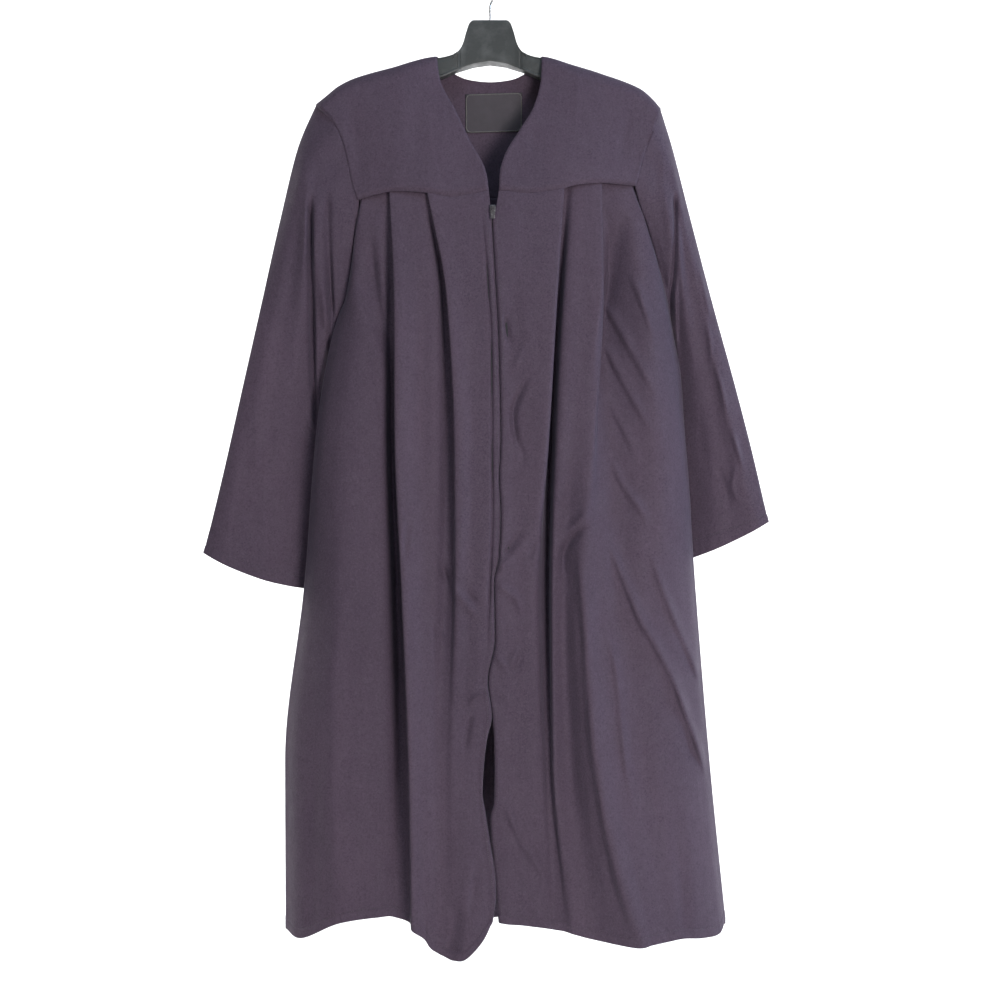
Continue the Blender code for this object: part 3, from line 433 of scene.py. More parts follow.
def fine_patch(top, bottom, start, end, shares, rows):
    """As the yoke's patch, worked out all at once: (column, row, [across, down])."""
    v = (np.arange(rows + 1) / rows) ** 1.8
    u = np.asarray(shares, float)

    def edge(table, at):
        points = np.asarray(table, float)
        along = np.concatenate([[0], np.cumsum(np.linalg.norm(np.diff(points, axis=0), axis=1))])
        along /= along[-1]
        return np.stack([smooth(along, points[:, 0], at), smooth(along, points[:, 1], at)], axis=-1)

    over, under, left, right = edge(top, u), edge(bottom, u), edge(start, v), edge(end, v)
    V, U = v[None, :, None], u[:, None, None]
    between_ends = (1 - V) * over[:, None] + V * under[:, None]
    between_sides = (1 - U) * left[None] + U * right[None]
    flat = (1 - V) * ((1 - U) * over[0] + U * over[-1]) + V * ((1 - U) * under[0] + U * under[-1])
    return between_ends + between_sides - flat


def on_yoke(grid):
    for column in grid:
        across = column[-1, 0]
        side = "left" if across < 0 else "right"
        column[-1, 1] = seam_down(side)(across) + 0.7
        across = column[0, 0]
        if abs(across) >= min(abs(row[0]) for row in SHOULDER[side]) - 0.01:
            column[0, 1] = min(column[0, 1], shoulder_down(across))
    return np.array(
        [[(x, yoke_out(x, down) + SEAM_GAP / 2, down) for x, down in column] for column in grid]
    )


def fine_yoke_front(side):
    shares = np.linspace(0, 1, 49)
    return on_yoke(fine_patch(SHOULDER[side], YOKE_SEAM[side], NECK[side], ARMHOLE[side], shares, 34))


def fine_yoke_back():
    top = SHOULDER["left"][::-1] + BACK_NECK[1:-1] + SHOULDER["right"]
    bottom = YOKE_SEAM["left"][::-1] + YOKE_SEAM["right"][1:]
    lengths = np.linalg.norm(np.diff(np.asarray(top, float), axis=0), axis=1)
    along = np.concatenate([[0], np.cumsum(lengths)]) / lengths.sum()
    first, last = along[len(SHOULDER["left"]) - 1], along[-len(SHOULDER["right"])]
    neck = first + (last - first) * (0.5 - 0.5 * np.cos(np.linspace(0, math.pi, 40)[1:-1]))
    shoulder = np.linspace(0, 1, 40)
    shares = np.concatenate([first * shoulder, neck, last + (1 - last) * shoulder])
    return on_yoke(fine_patch(top, bottom, ARMHOLE["left"], ARMHOLE["right"], shares, 34))


def fine_sleeve(side, rows=150, steps=12):
    """A sleeve as a closed tube, with rows close together at the armhole and at the cuff."""
    stations = SLEEVE_STATIONS[side]
    outer = np.array([row[1] for row in stations], float)
    inner = np.array([row[2] for row in stations], float)
    count = len(stations)
    last_span = np.linalg.norm(outer[-1] - outer[-2])
    at = np.concatenate([
        [0.0, 0.015, 0.035, 0.06],
        np.linspace(0.09, count - HEM_ROWS[0] / last_span, rows),
        count - np.array(HEM_ROWS[1:]) / last_span,
    ])
    knots = np.arange(count + 1)
    lines = []
    for name, shares, stand in SLEEVE_FOLDS:
        front = -1.0 if name.startswith("back") else 1.0
        line = [armhole_point(side, shares[0]) * (1, front, 1)]
        for k, share in enumerate(shares[1:]):
            across, down, out = outer[k] + (inner[k] - outer[k]) * share
            if k == count - 1:
                down += CUFF_SAG[side] * 4 * share * (1 - share)
            line.append((across, out + stand[k], down))
        line = np.array(line)
        lines.append(np.stack([smooth(knots, line[:, k], at) for k in range(3)], axis=1))
    grid = rounded(lines, steps, closed=True)
    shares = rounded([[row[1][0]] for row in SLEEVE_FOLDS], steps, closed=True)[:, 0]
    inner_column = steps * [row[0] for row in SLEEVE_FOLDS].index("inner edge")
    near = np.exp(-(((np.arange(len(grid)) - inner_column) / (1.3 * steps)) ** 2))
    reach = near[:, None] * np.exp(-(((at - 0.85) / 0.5) ** 2))[None, :]
    grid[..., 0] -= SIGN[side] * UNDERARM_TUCK[0] * reach
    grid[..., 1] -= UNDERARM_TUCK[1] * reach
    for i, share in enumerate(shares):
        facing = 1.0 if i <= inner_column else -1.0
        ring = armhole_point(side, min(max(share, 0), 1)) * (1, facing, 1)
        ring[0] += SIGN[side] * 0.2
        grid[i, 0] = ring
    tucked = grid[:, :1].copy()
    tucked[:, :, 0] -= SIGN[side] * 3.0
    tucked[:, :, 1] *= 0.93
    return np.concatenate([tucked, grid], axis=1)


# Creases

def path_points(points, steps=6):
    return rounded(np.asarray(points, float), steps)


def crease_height(places, path, left, right, depth, ends=(0.25, 0.35)):
    """A soft ridge (or trough) along a path: its height at places (across, down)."""
    line = path_points(path)
    a, b = line[:-1], line[1:]
    span = b - a
    length = np.linalg.norm(span, axis=1)
    along = np.concatenate([[0], np.cumsum(length)])
    best = np.full(len(places), 1e9)
    side = np.zeros(len(places))
    share = np.zeros(len(places))
    for k in range(len(a)):
        rel = places - a[k]
        t = np.clip(rel @ span[k] / length[k] ** 2, 0, 1)
        gap = rel - t[:, None] * span[k]
        far = np.hypot(gap[:, 0], gap[:, 1])
        near = far < best
        best = np.where(near, far, best)
        cross = span[k, 0] * gap[:, 1] - span[k, 1] * gap[:, 0]
        side = np.where(near, np.sign(cross), side)
        share = np.where(near, (along[k] + t * length[k]) / along[-1], share)
    width = np.where(side > 0, left, right)
    height = depth * np.exp(-((best / width) ** 2))
    fade = soft_step(share / ends[0]) * soft_step((1 - share) / ends[1])
    uneven = 1 + 0.18 * np.sin(0.045 * places[:, 1] + 0.11 * places[:, 0])
    return height * fade * uneven


def creased(grid, table, where=None):
    """The grid pushed out (or in) by each crease of a table."""
    places = grid[..., [0, 2]].reshape(-1, 2)
    lift = np.zeros(len(places))
    for _, path, left, right, depth, ends in table:
        low = np.min(path, axis=0) - 3 * max(left, right)
        high = np.max(path, axis=0) + 3 * max(left, right)
        chosen = ((places > low) & (places < high)).all(axis=1)
        if chosen.any():
            lift[chosen] += crease_height(places[chosen], path, left, right, depth, ends)
    lift = lift.reshape(grid.shape[:2])
    if where is not None:
        lift = lift * where
    grid[..., 1] += lift
    return grid


# The slow unevenness of each kind of piece: size across, size down, depth
CLOTH_SWELLS = ((75.0, 330.0, 2.4), (34.0, 120.0, 1.1), (15.0, 48.0, 0.3))
YOKE_SWELLS = ((60.0, 90.0, 1.1), (22.0, 40.0, 0.35))
SLEEVE_SWELLS = ((50.0, 230.0, 2.0), (26.0, 90.0, 1.0), (13.0, 42.0, 0.3))
FRONT_SEED = 4.0


def billowed(grid, seed, where, sizes=CLOTH_SWELLS):
    """Slow unevenness of hanging cloth, longer down than across."""
    lift = np.zeros(grid.shape[:2])
    for across, down, depth in sizes:
        for i in range(grid.shape[0]):
            for j in range(grid.shape[1]):
                x, _, d = grid[i, j]
                lift[i, j] += depth * noise.noise(Vector((x / across, d / down, seed)))
    grid[..., 1] += lift * where
    return grid


def outward(grid, closed=False, sign=1.0):
    """Unit vectors square to the surface, on its outer side."""
    down = np.gradient(grid, axis=1)
    if closed:
        along = np.roll(grid, -1, axis=0) - np.roll(grid, 1, axis=0)
    else:
        along = np.gradient(grid, axis=0)
    normal = np.cross(along, down) * sign
    return normal / np.maximum(np.linalg.norm(normal, axis=-1, keepdims=True), 1e-9)


def hemmed(grid, rows_up, normal, thick=0.45, seed=3.0):
    """A turned hem: a doubled band with a dimpled, slightly puckered line of stitching."""
    depth = np.zeros(grid.shape[1])
    depth[-len(rows_up):] = rows_up
    depth[: -len(rows_up)] = 1e3
    band = soft_step((HEM_DEPTH + 1.0 - depth) / 2.0) * thick
    dimple = -0.55 * np.exp(-(((depth - HEM_DEPTH) / 1.2) ** 2))
    along = np.concatenate([[0], np.cumsum(np.linalg.norm(np.diff(grid[:, -1], axis=0), axis=1))])
    pucker = np.array([noise.noise(Vector((a / 7.0, seed, 0.5))) for a in along])
    swell = np.exp(-(((depth - HEM_DEPTH + 5) / 6.0) ** 2))
    swell += 0.5 * np.exp(-(((depth - HEM_DEPTH - 4) / 4.0) ** 2))
    lift = (band + dimple)[None, :] + 0.75 * pucker[:, None] * swell[None, :]
    return grid + normal * lift[..., None]


# Meshes

def to_world(points, back=False):
    """Metres in the part's frame, from (across, out, down) in millimetres."""
    points = np.asarray(points, float)
    out = points[..., 1] if back else -points[..., 1]
    return np.stack([points[..., 0], out, -points[..., 2]], axis=-1) * MM


def add_mesh(name, points, faces, finish, smooth_shading=True):
    mesh = bpy.data.meshes.new(name)
    mesh.from_pydata(np.asarray(points, float).reshape(-1, 3).tolist(), [], faces)
    mesh.validate()
    if smooth_shading:
        mesh.shade_smooth()
    mesh.materials.append(finish)
    obj = bpy.data.objects.new(name, mesh)
    bpy.context.scene.collection.objects.link(obj)
    return obj


def facing_out(obj):
    bm = bmesh.new()
    bm.from_mesh(obj.data)
    bmesh.ops.recalc_face_normals(bm, faces=bm.faces)
    bm.to_mesh(obj.data)
    bm.free()


def grid_faces(columns, rows, closed=False):
    faces = []
    for i in range(columns if closed else columns - 1):
        j = (i + 1) % columns
        faces += [
            (i * rows + k, j * rows + k, j * rows + k + 1, i * rows + k + 1) for k in range(rows - 1)
        ]
    return faces


def cloth_piece(name, grid, finish, thick=CLOTH_THICK, closed=False, back=False):
    """A thin wall of cloth about a grid, square to it."""
    columns, rows = grid.shape[:2]
    obj = add_mesh(name, to_world(grid, back), grid_faces(columns, rows, closed), finish)
    wall = obj.modifiers.new("wall", "SOLIDIFY")
    wall.thickness = thick * MM
    wall.offset = 0
    return obj


def stitch_line(points, normals, pitch=3.0, length=2.2, width=0.42, lift=0.32, skip=0):
    """Small pillow-shaped stitches along a line on the cloth: vertices and faces."""
    points, normals = np.asarray(points, float), np.asarray(normals, float)
    along = np.concatenate([[0], np.cumsum(np.linalg.norm(np.diff(points, axis=0), axis=1))])
    count = int(along[-1] // pitch)
    verts, faces = [], []
    for n in range(count):
        if skip and noise.noise(Vector((n * 0.37, skip, 1.5))) > 0.42:
            continue
        middle = (n + 0.5) * pitch + 0.25 * noise.noise(Vector((n * 1.7, 2.0, skip)))
        here = np.array([np.interp(middle, along, points[:, k]) for k in range(3)])
        ahead = np.array([np.interp(middle + 0.6, along, points[:, k]) for k in range(3)])
        up = np.array([np.interp(middle, along, normals[:, k]) for k in range(3)])
        way = ahead - here
        way /= max(np.linalg.norm(way), 1e-6)
        up -= way * (up @ way)
        up /= max(np.linalg.norm(up), 1e-6)
        across = np.cross(way, up)
        half = length / 2
        base = len(verts)
        ends = ((-half, 0.25, -0.2), (-half * 0.5, 1, 0.8), (half * 0.5, 1, 0.8), (half, 0.25, -0.2))
        for at, wide, high in ends:
            for turn in range(5):
                angle = 2 * math.pi * turn / 5
                offset = across * math.cos(angle) * width / 2 * wide
                rise = up * (lift + math.sin(angle) * width / 2 * wide + (high - 0.8) * 0.22)
                verts.append(here + way * at + offset + rise)
        for ring in range(3):
            for turn in range(5):
                a = base + ring * 5 + turn
                b = base + ring * 5 + (turn + 1) % 5
                faces.append((a, b, b + 5, a + 5))
        faces.append(tuple(base + 4 - turn for turn in range(5)))
        faces.append(tuple(base + 15 + turn for turn in range(5)))
    return verts, faces


def stitches(name, lines, finish, back=False):
    """One piece of sewing thread made of several stitch lines."""
    verts, faces = [], []
    for line, normals, options in lines:
        more, theirs = stitch_line(line, normals, **options)
        faces += [tuple(index + len(verts) for index in face) for face in theirs]
        verts += more
    return add_mesh(name, to_world(np.array(verts), back), faces, finish)


# Materials

class Nodes:
    """A material's node tree, with the few steps that the finishes share."""

    def __init__(self, name):
        self.material = bpy.data.materials.new(name)
        self.material.use_nodes = True
        self.tree = self.material.node_tree
        self.shader = self.tree.nodes["Principled BSDF"]
        self.where = self.tree.nodes.new("ShaderNodeTexCoord").outputs["Object"]

    def link(self, start, end):
        self.tree.links.new(start, end)

    def scaled(self, scale):
        step = self.tree.nodes.new("ShaderNodeMapping")
        step.inputs["Scale"].default_value = scale
        self.link(self.where, step.inputs["Vector"])
        return step.outputs["Vector"]

    def speckle(self, scale, detail=2.0, rough=0.5, stretch=(1, 1, 1), distortion=0.0):
        step = self.tree.nodes.new("ShaderNodeTexNoise")
        step.inputs["Scale"].default_value = scale
        step.inputs["Detail"].default_value = detail
        step.inputs["Roughness"].default_value = rough
        step.inputs["Distortion"].default_value = distortion
        self.link(self.scaled(stretch), step.inputs["Vector"])
        return step.outputs["Fac"]

    def bands(self, scale, direction, distortion=0.0):
        step = self.tree.nodes.new("ShaderNodeTexWave")
        step.bands_direction = direction
        step.inputs["Scale"].default_value = scale
        step.inputs["Distortion"].default_value = distortion
        step.inputs["Detail"].default_value = 1.0
        step.inputs["Detail Scale"].default_value = 2.0
        self.link(self.where, step.inputs["Vector"])
        return step.outputs["Fac"]

    def between(self, value, low, high, start=0.3, end=0.7):
        step = self.tree.nodes.new("ShaderNodeMapRange")
        step.inputs["From Min"].default_value = start
        step.inputs["From Max"].default_value = end
        step.inputs["To Min"].default_value = low
        step.inputs["To Max"].default_value = high
        self.link(value, step.inputs["Value"])
        return step.outputs["Result"]

    def times(self, a, b, operation="MULTIPLY"):
        step = self.tree.nodes.new("ShaderNodeMath")
        step.operation = operation
        for socket, value in zip(step.inputs, (a, b)):
            if isinstance(value, (int, float)):
                socket.default_value = value
            else:
                self.link(value, socket)
        return step.outputs["Value"]

    def colours(self, value, stops):
        ramp = self.tree.nodes.new("ShaderNodeValToRGB")
        while len(ramp.color_ramp.elements) < len(stops):
            ramp.color_ramp.elements.new(0.5)
        for element, (place, colour) in zip(ramp.color_ramp.elements, stops):
            element.position = place
            element.color = (*colour, 1)
        self.link(value, ramp.inputs["Fac"])
        return ramp.outputs["Color"]

    def tint(self, colour, other, share):
        mix = self.tree.nodes.new("ShaderNodeMix")
        mix.data_type = "RGBA"
        self.link(share, mix.inputs["Factor"])
        for socket, value in ((mix.inputs[6], colour), (mix.inputs[7], other)):
            if isinstance(value, tuple):
                socket.default_value = (*value, 1)
            else:
                self.link(value, socket)
        return mix.outputs[2]

    def bump(self, height, distance, strength=1.0, after=None):
        step = self.tree.nodes.new("ShaderNodeBump")
        step.inputs["Strength"].default_value = strength
        step.inputs["Distance"].default_value = distance
        self.link(height, step.inputs["Height"])
        if after is not None:
            self.link(after, step.inputs["Normal"])
        return step.outputs["Normal"]

    def set(self, **values):
        names = {"colour": "Base Color", "roughness": "Roughness", "metallic": "Metallic",
                 "sheen": "Sheen Weight", "sheen_roughness": "Sheen Roughness", "sheen_tint": "Sheen Tint",
                 "specular": "Specular IOR Level", "coat": "Coat Weight", "normal": "Normal"}
        for key, value in values.items():
            socket = self.shader.inputs[names[key]]
            if isinstance(value, (int, float)):
                socket.default_value = value
            elif isinstance(value, tuple):
                socket.default_value = (*value, 1)
            else:
                self.link(value, socket)


def polyester(name, colour, depth=1.0):
    """Faded black crêpe-like polyester: slow fading, faint vertical streaks, a fine grain."""
    n = Nodes(name)
    faded = tuple(c * f for c, f in zip(colour, (1.16, 1.14, 1.13)))
    worn = tuple(c * f for c, f in zip(colour, (0.86, 0.86, 0.88)))
    base = n.colours(n.speckle(5.5, 3, 0.55, (1, 1, 0.45)), ((0.32, worn), (0.52, colour), (0.7, faded)))
    streak = n.speckle(150, 2, 0.6, (1, 1, 0.05))
    base = n.tint(base, tuple(c * 0.8 for c in colour), n.between(streak, 0.0, 0.32, 0.45, 0.75))
    grain = n.speckle(1500, 2, 0.6)
    base = n.tint(base, tuple(c * 1.7 for c in colour), n.between(grain, 0.0, 0.45, 0.48, 0.78))
    pale = n.between(n.speckle(430, 2, 0.6), 0.0, 0.6, 0.48, 0.7)
    base = n.tint(base, tuple(c * 1.45 for c in colour), pale)
    dark = n.between(n.speckle(390, 2, 0.6), 0.6, 0.0, 0.3, 0.52)
    base = n.tint(base, tuple(c * 0.6 for c in colour), dark)
    weave = n.times(n.bands(330, "X", 0.4), n.bands(330, "Z", 0.4))
    normal = n.bump(weave, 0.00016, 0.6 * depth)
    normal = n.bump(n.speckle(260, 3, 0.6, (1, 1, 0.5)), 0.00035, 0.5 * depth, normal)
    normal = n.bump(n.speckle(38, 3, 0.55, (1, 1, 0.4), 0.6), 0.0022, 0.42 * depth, normal)
    n.set(colour=base, roughness=n.between(n.speckle(60, 2), 0.7, 0.84), normal=normal,
          sheen=0.12, sheen_roughness=0.4, sheen_tint=(0.8, 0.74, 0.88), specular=0.26)
    return n.material


def thread(name, colour):
    n = Nodes(name)
    base = n.colours(n.speckle(420, 2), ((0.35, tuple(c * 0.7 for c in colour)), (0.7, colour)))
    n.set(colour=base, roughness=0.55, normal=n.bump(n.bands(520, "X", 2.0), 0.0001, 0.5), sheen=0.2)
    return n.material


def tape_finish(name, colour):
    n = Nodes(name)
    ribs = n.bands(300, "Z")
    base = n.colours(ribs, ((0.2, tuple(c * 0.7 for c in colour)), (0.8, colour)))
    n.set(colour=base, roughness=0.82, normal=n.bump(ribs, 0.0002, 0.6), sheen=0.15)
    return n.material


def label_finish(name, colour):
    n = Nodes(name)
    weave = n.times(n.bands(420, "X"), n.bands(260, "Z"))
    base = n.colours(n.speckle(90, 3), ((0.35, tuple(c * 0.85 for c in colour)), (0.65, colour)))
    n.set(colour=base, roughness=0.62, normal=n.bump(weave, 0.0001, 0.5), sheen=0.2)
    return n.material


def moulded(name, colour):
    """Black moulded plastic: a fine grain, faint scuffs and patches of dust."""
    n = Nodes(name)
    dust = n.between(n.speckle(34, 4, 0.6), 0.0, 0.35, 0.45, 0.75)
    base = n.tint(n.colours(n.speckle(12, 2), ((0.3, colour), (0.7, tuple(c * 1.2 for c in colour)))),
                  (0.17, 0.17, 0.165), dust)
    scuffs = n.speckle(55, 3, 0.7, (1, 1, 6))
    normal = n.bump(n.speckle(900, 2), 0.00008, 0.5)
    normal = n.bump(n.speckle(70, 2), 0.0003, 0.25, normal)
    n.set(colour=base, roughness=n.between(scuffs, 0.38, 0.6), normal=normal, specular=0.45)
    return n.material


def metal(name, colour, dark, rough):
    n = Nodes(name)
    wear = n.speckle(240, 3, 0.6)
    n.set(colour=n.colours(wear, ((0.35, dark), (0.65, colour))), metallic=1.0,
          roughness=n.between(n.speckle(500, 2), rough * 0.75, rough * 1.3),
          normal=n.bump(n.speckle(1100, 2), 0.00004, 0.4))
    return n.material


def enamel(name, colour):
    """Painted zinc: the paint has worn to metal here and there."""
    n = Nodes(name)
    wear = n.between(n.speckle(420, 3, 0.65), 0.0, 0.55, 0.56, 0.7)
    base = n.tint(colour, (0.33, 0.32, 0.32), wear)
    n.set(colour=base, metallic=0.55, roughness=n.between(n.speckle(300, 2), 0.34, 0.55),
          normal=n.bump(n.speckle(600, 2), 0.00006, 0.5))
    return n.material


def floor_finish(name, colour):
    n = Nodes(name)
    base = n.colours(n.speckle(1.5, 2), ((0.3, tuple(c * 0.992 for c in colour)), (0.7, colour)))
    n.set(colour=base, roughness=0.9, specular=0.1)
    return n.material


CLOTH = polyester("faded_polyester", (0.0715, 0.0485, 0.0715))
THREAD = thread("sewing_thread", (0.05, 0.043, 0.052))
TAPE = tape_finish("zip_tape_weave", (0.022, 0.02, 0.024))
TEETH = moulded("zip_coil", (0.02, 0.019, 0.021))
PLASTIC = moulded("hanger_moulding", (0.038, 0.039, 0.037))
STEEL = metal("plated_wire", (0.62, 0.62, 0.63), (0.4, 0.4, 0.41), 0.2)
PAINTED = enamel("worn_enamel", (0.075, 0.07, 0.075))
LABEL = label_finish("woven_label_ground", (0.05, 0.039, 0.049))
OUTLINE = thread("woven_label_outline", (0.135, 0.125, 0.12))
PAPER = floor_finish("pale_floor", (0.9, 0.9, 0.9))


# The creases that the photograph shows, and like ones on the sides it hides
# name, path (across, down), width on its left and right, depth (a ridge if above zero), the
# shares of its length over which it fades in and out
FRONT_CREASES = {
    "left": (
        ("flap curl", ((-61, 1328), (-50, 1353), (-51, 1373), (-57, 1407)), 5, 12, -5.0, (0.4, 0.1)),
        ("flap crease", ((-12, 1254), (-19, 1277), (-25, 1333), (-26, 1355)), 4, 9, -3.0, (0.4, 0.3)),
        ("placket line", ((-12, 346), (-10, 382), (-5, 431), (-1, 488), (2, 545), (3, 616), (3, 686),
         (4, 771), (3, 828), (1, 878), (-1, 927), (-5, 998)), 1.7, 1.7, -4.2, (0.06, 0.12)),
        ("panel fold", ((-40, 520), (-38, 700), (-44, 880), (-50, 1060)), 14, 8, 2.4, (0.3, 0.4)),
        ("under the arm", ((-175, 362), (-170, 425), (-162, 485), (-152, 542),
         (-146, 607)), 20, 8, -11.0, (0.2, 0.5)),
        ("side lip", ((-200, 431), (-190, 474), (-176, 514), (-161, 551), (-151, 600),
         (-154, 671)), 16, 5, 3.4, (0.3, 0.5)),
        ("armhole drag", ((-198, 387), (-202, 430), (-210, 479)), 4, 5, -2.6, (0.3, 0.3)),
        ("band crease", ((-99, 418), (-93, 531), (-96, 644), (-93, 771)), 8, 10, -3.3, (0.3, 0.4)),
        ("edge tuck", ((-112, 788), (-118, 825), (-121, 867)), 4, 5, -4.5, (0.4, 0.4)),
        ("pleat end", ((-79, 845), (-67, 872), (-50, 904)), 4, 5, -5.1, (0.4, 0.3)),
        ("pleat pucker", ((-63, 876), (-48, 901), (-28, 924), (-12, 944)), 4, 6, 4.5, (0.3, 0.4)),
        ("pucker hollow", ((-38, 893), (-26, 908), (-15, 921)), 3, 4, -3.9, (0.4, 0.4)),
        ("small hollow", ((-81, 943), (-73, 959), (-64, 977)), 4, 4, -3.3, (0.4, 0.4)),
        ("slit pucker", ((-33, 1061), (-17, 1049), (2, 1045)), 3, 4, 4.2, (0.4, 0.2)),
        ("slit hollow", ((-22, 1065), (-31, 1093), (-36, 1138)), 3, 6, -3.9, (0.3, 0.5)),
        ("side flute", ((-208, 760), (-216, 960), (-222, 1180), (-214, 1360)), 16, 12, 4.0, (0.3, 0.2)),
        ("hem flute", ((-140, 1160), (-144, 1260), (-142, 1375)), 9, 14, -3.6, (0.5, 0.05)),
        ("hem flute outer", ((-246, 1120), (-250, 1260), (-252, 1385)), 12, 9, -4.0, (0.5, 0.05)),
    ),
    "right": (
        ("lower fold", ((124, 830), (134, 968), (138, 1035), (145, 1125), (163, 1235), (183, 1316),
         (209, 1390)), 5, 16, 5.5, (0.15, 0.1)),
        ("lower shade", ((118, 840), (128, 968), (132, 1035), (139, 1125), (156, 1235), (175, 1316),
         (200, 1390)), 9, 5, -3.5, (0.15, 0.15)),
        ("band recess", ((170, 352), (172, 416), (171, 463), (164, 513), (158, 551), (154, 594),
         (152, 636)), 5, 26, -12.0, (0.12, 0.5)),
        ("armhole drag", ((210, 329), (194, 361), (181, 401), (174, 441)), 9, 11, -4.0, (0.1, 0.5)),
        ("armhole pucker", ((174, 333), (187, 349), (199, 365)), 4, 5, 3.9, (0.3, 0.5)),
        ("fan upper", ((197, 441), (208, 467), (218, 494), (228, 525), (237, 558)), 3, 8, 4.5, (0.25, 0.5)),
        ("fan middle", ((165, 487), (182, 521), (203, 561), (225, 604),
         (239, 632)), 3, 9, 6.0, (0.12, 0.45)),
        ("fan lower", ((162, 544), (185, 592), (202, 625), (220, 658),
         (236, 689)), 3, 8, 5.4, (0.12, 0.45)),
        ("fan last", ((165, 618), (182, 655), (199, 689), (213, 723)), 3, 7, 3.6, (0.3, 0.5)),
        ("short diagonal", ((173, 709), (183, 739), (199, 766), (216, 790),
         (227, 817)), 3, 7, 4.8, (0.3, 0.4)),
        ("long diagonal", ((165, 824), (189, 885), (210, 937), (237, 984), (260, 1030), (285, 1098),
         (308, 1157)), 3, 10, 6.6, (0.2, 0.12)),
        ("side diagonal", ((225, 840), (242, 891), (259, 935), (285, 992),
         (305, 1042)), 3, 8, 5.0, (0.3, 0.15)),
        ("low diagonal", ((254, 1011), (277, 1071), (295, 1120), (312, 1177)), 2.6, 7, 4.2, (0.35, 0.2)),
        ("faint upright", ((155, 941), (171, 983), (179, 1025), (185, 1096), (193, 1159),
         (208, 1236)), 3, 8, 3.4, (0.3, 0.4)),
        ("elbow ridge", ((147, 783), (128, 798), (109, 818), (98, 839)), 5, 5, 4.5, (0.35, 0.4)),
        ("elbow crease", ((143, 801), (126, 815), (113, 829), (104, 846), (104, 866),
         (111, 886)), 4, 6, -6.9, (0.3, 0.35)),
        ("zip pucker 1", ((58, 584), (44, 616), (33, 644), (37, 684), (47, 710),
         (37, 743)), 4, 5, -5.4, (0.3, 0.4)),
        ("zip pucker 2", ((50, 548), (40, 573), (31, 599)), 5, 6, 3.6, (0.4, 0.4)),
        ("zip pucker 3", ((22, 505), (24, 533), (33, 559)), 3, 5, -4.2, (0.3, 0.4)),
        ("zip pucker 4", ((12, 872), (26, 859), (43, 839), (61, 811)), 4, 6, 5.7, (0.1, 0.5)),
        ("zip pucker 5", ((10, 893), (24, 900), (39, 914), (47, 941)), 4, 6, 4.5, (0.1, 0.5)),
        ("zip pucker 6", ((51, 856), (63, 836), (74, 820)), 5, 5, -4.8, (0.4, 0.4)),
        ("zip pucker 7", ((17, 851), (30, 836), (46, 815)), 3, 4, -4.2, (0.3, 0.4)),
        ("vee left", ((5, 986), (16, 999), (27, 1010)), 4, 5, 4.2, (0.3, 0.2)),
        ("vee right", ((27, 1010), (36, 992), (43, 971)), 4, 5, 4.2, (0.2, 0.4)),
        ("vee hollow", ((31, 1020), (40, 1003), (47, 983)), 4, 5, -3.9, (0.3, 0.4)),
        ("slit crease", ((12, 1200), (23, 1205), (48, 1259), (74, 1296), (71, 1324),
         (55, 1355)), 4, 8, 4.8, (0.2, 0.4)),
        ("panel fold", ((48, 430), (52, 560), (46, 700), (44, 860)), 9, 14, 2.2, (0.3, 0.4)),
        ("hem flute", ((262, 1180), (268, 1290), (276, 1390)), 9, 14, -3.6, (0.5, 0.05)),
        ("hem flute inner", ((70, 1180), (78, 1280), (84, 1372)), 10, 14, -3.0, (0.5, 0.05)),
    ),
}
BACK_CREASES = (
    ("left drag", ((-186, 400), (-168, 470), (-158, 560)), 9, 13, -3.0, (0.2, 0.5)),
    ("left drag low", ((-206, 480), (-186, 580), (-176, 700)), 10, 15, -3.0, (0.2, 0.5)),
    ("right drag", ((214, 430), (196, 500), (182, 600)), 13, 9, -3.0, (0.2, 0.5)),
    ("right drag low", ((238, 520), (214, 620), (206, 740)), 14, 10, -3.0, (0.2, 0.5)),
    ("left long", ((-120, 620), (-132, 800), (-150, 1000), (-158, 1220)), 8, 15, 3.4, (0.3, 0.3)),
    ("left hem", ((-64, 980), (-70, 1160), (-66, 1380)), 12, 9, -4.0, (0.4, 0.05)),
    ("right long", ((128, 700), (150, 880), (172, 1080), (196, 1260)), 15, 8, 3.6, (0.3, 0.3)),
    ("right hem", ((84, 1020), (96, 1200), (110, 1380)), 10, 14, -4.2, (0.4, 0.05)),
    ("middle crease", ((6, 560), (-4, 720), (8, 900), (2, 1080)), 12, 10, -2.6, (0.4, 0.4)),
    ("outer hem", ((-238, 1080), (-246, 1240), (-248, 1380)), 10, 12, -3.8, (0.5, 0.05)),
    ("outer hem right", ((280, 1080), (290, 1240), (300, 1380)), 12, 10, -3.8, (0.5, 0.05)),
)
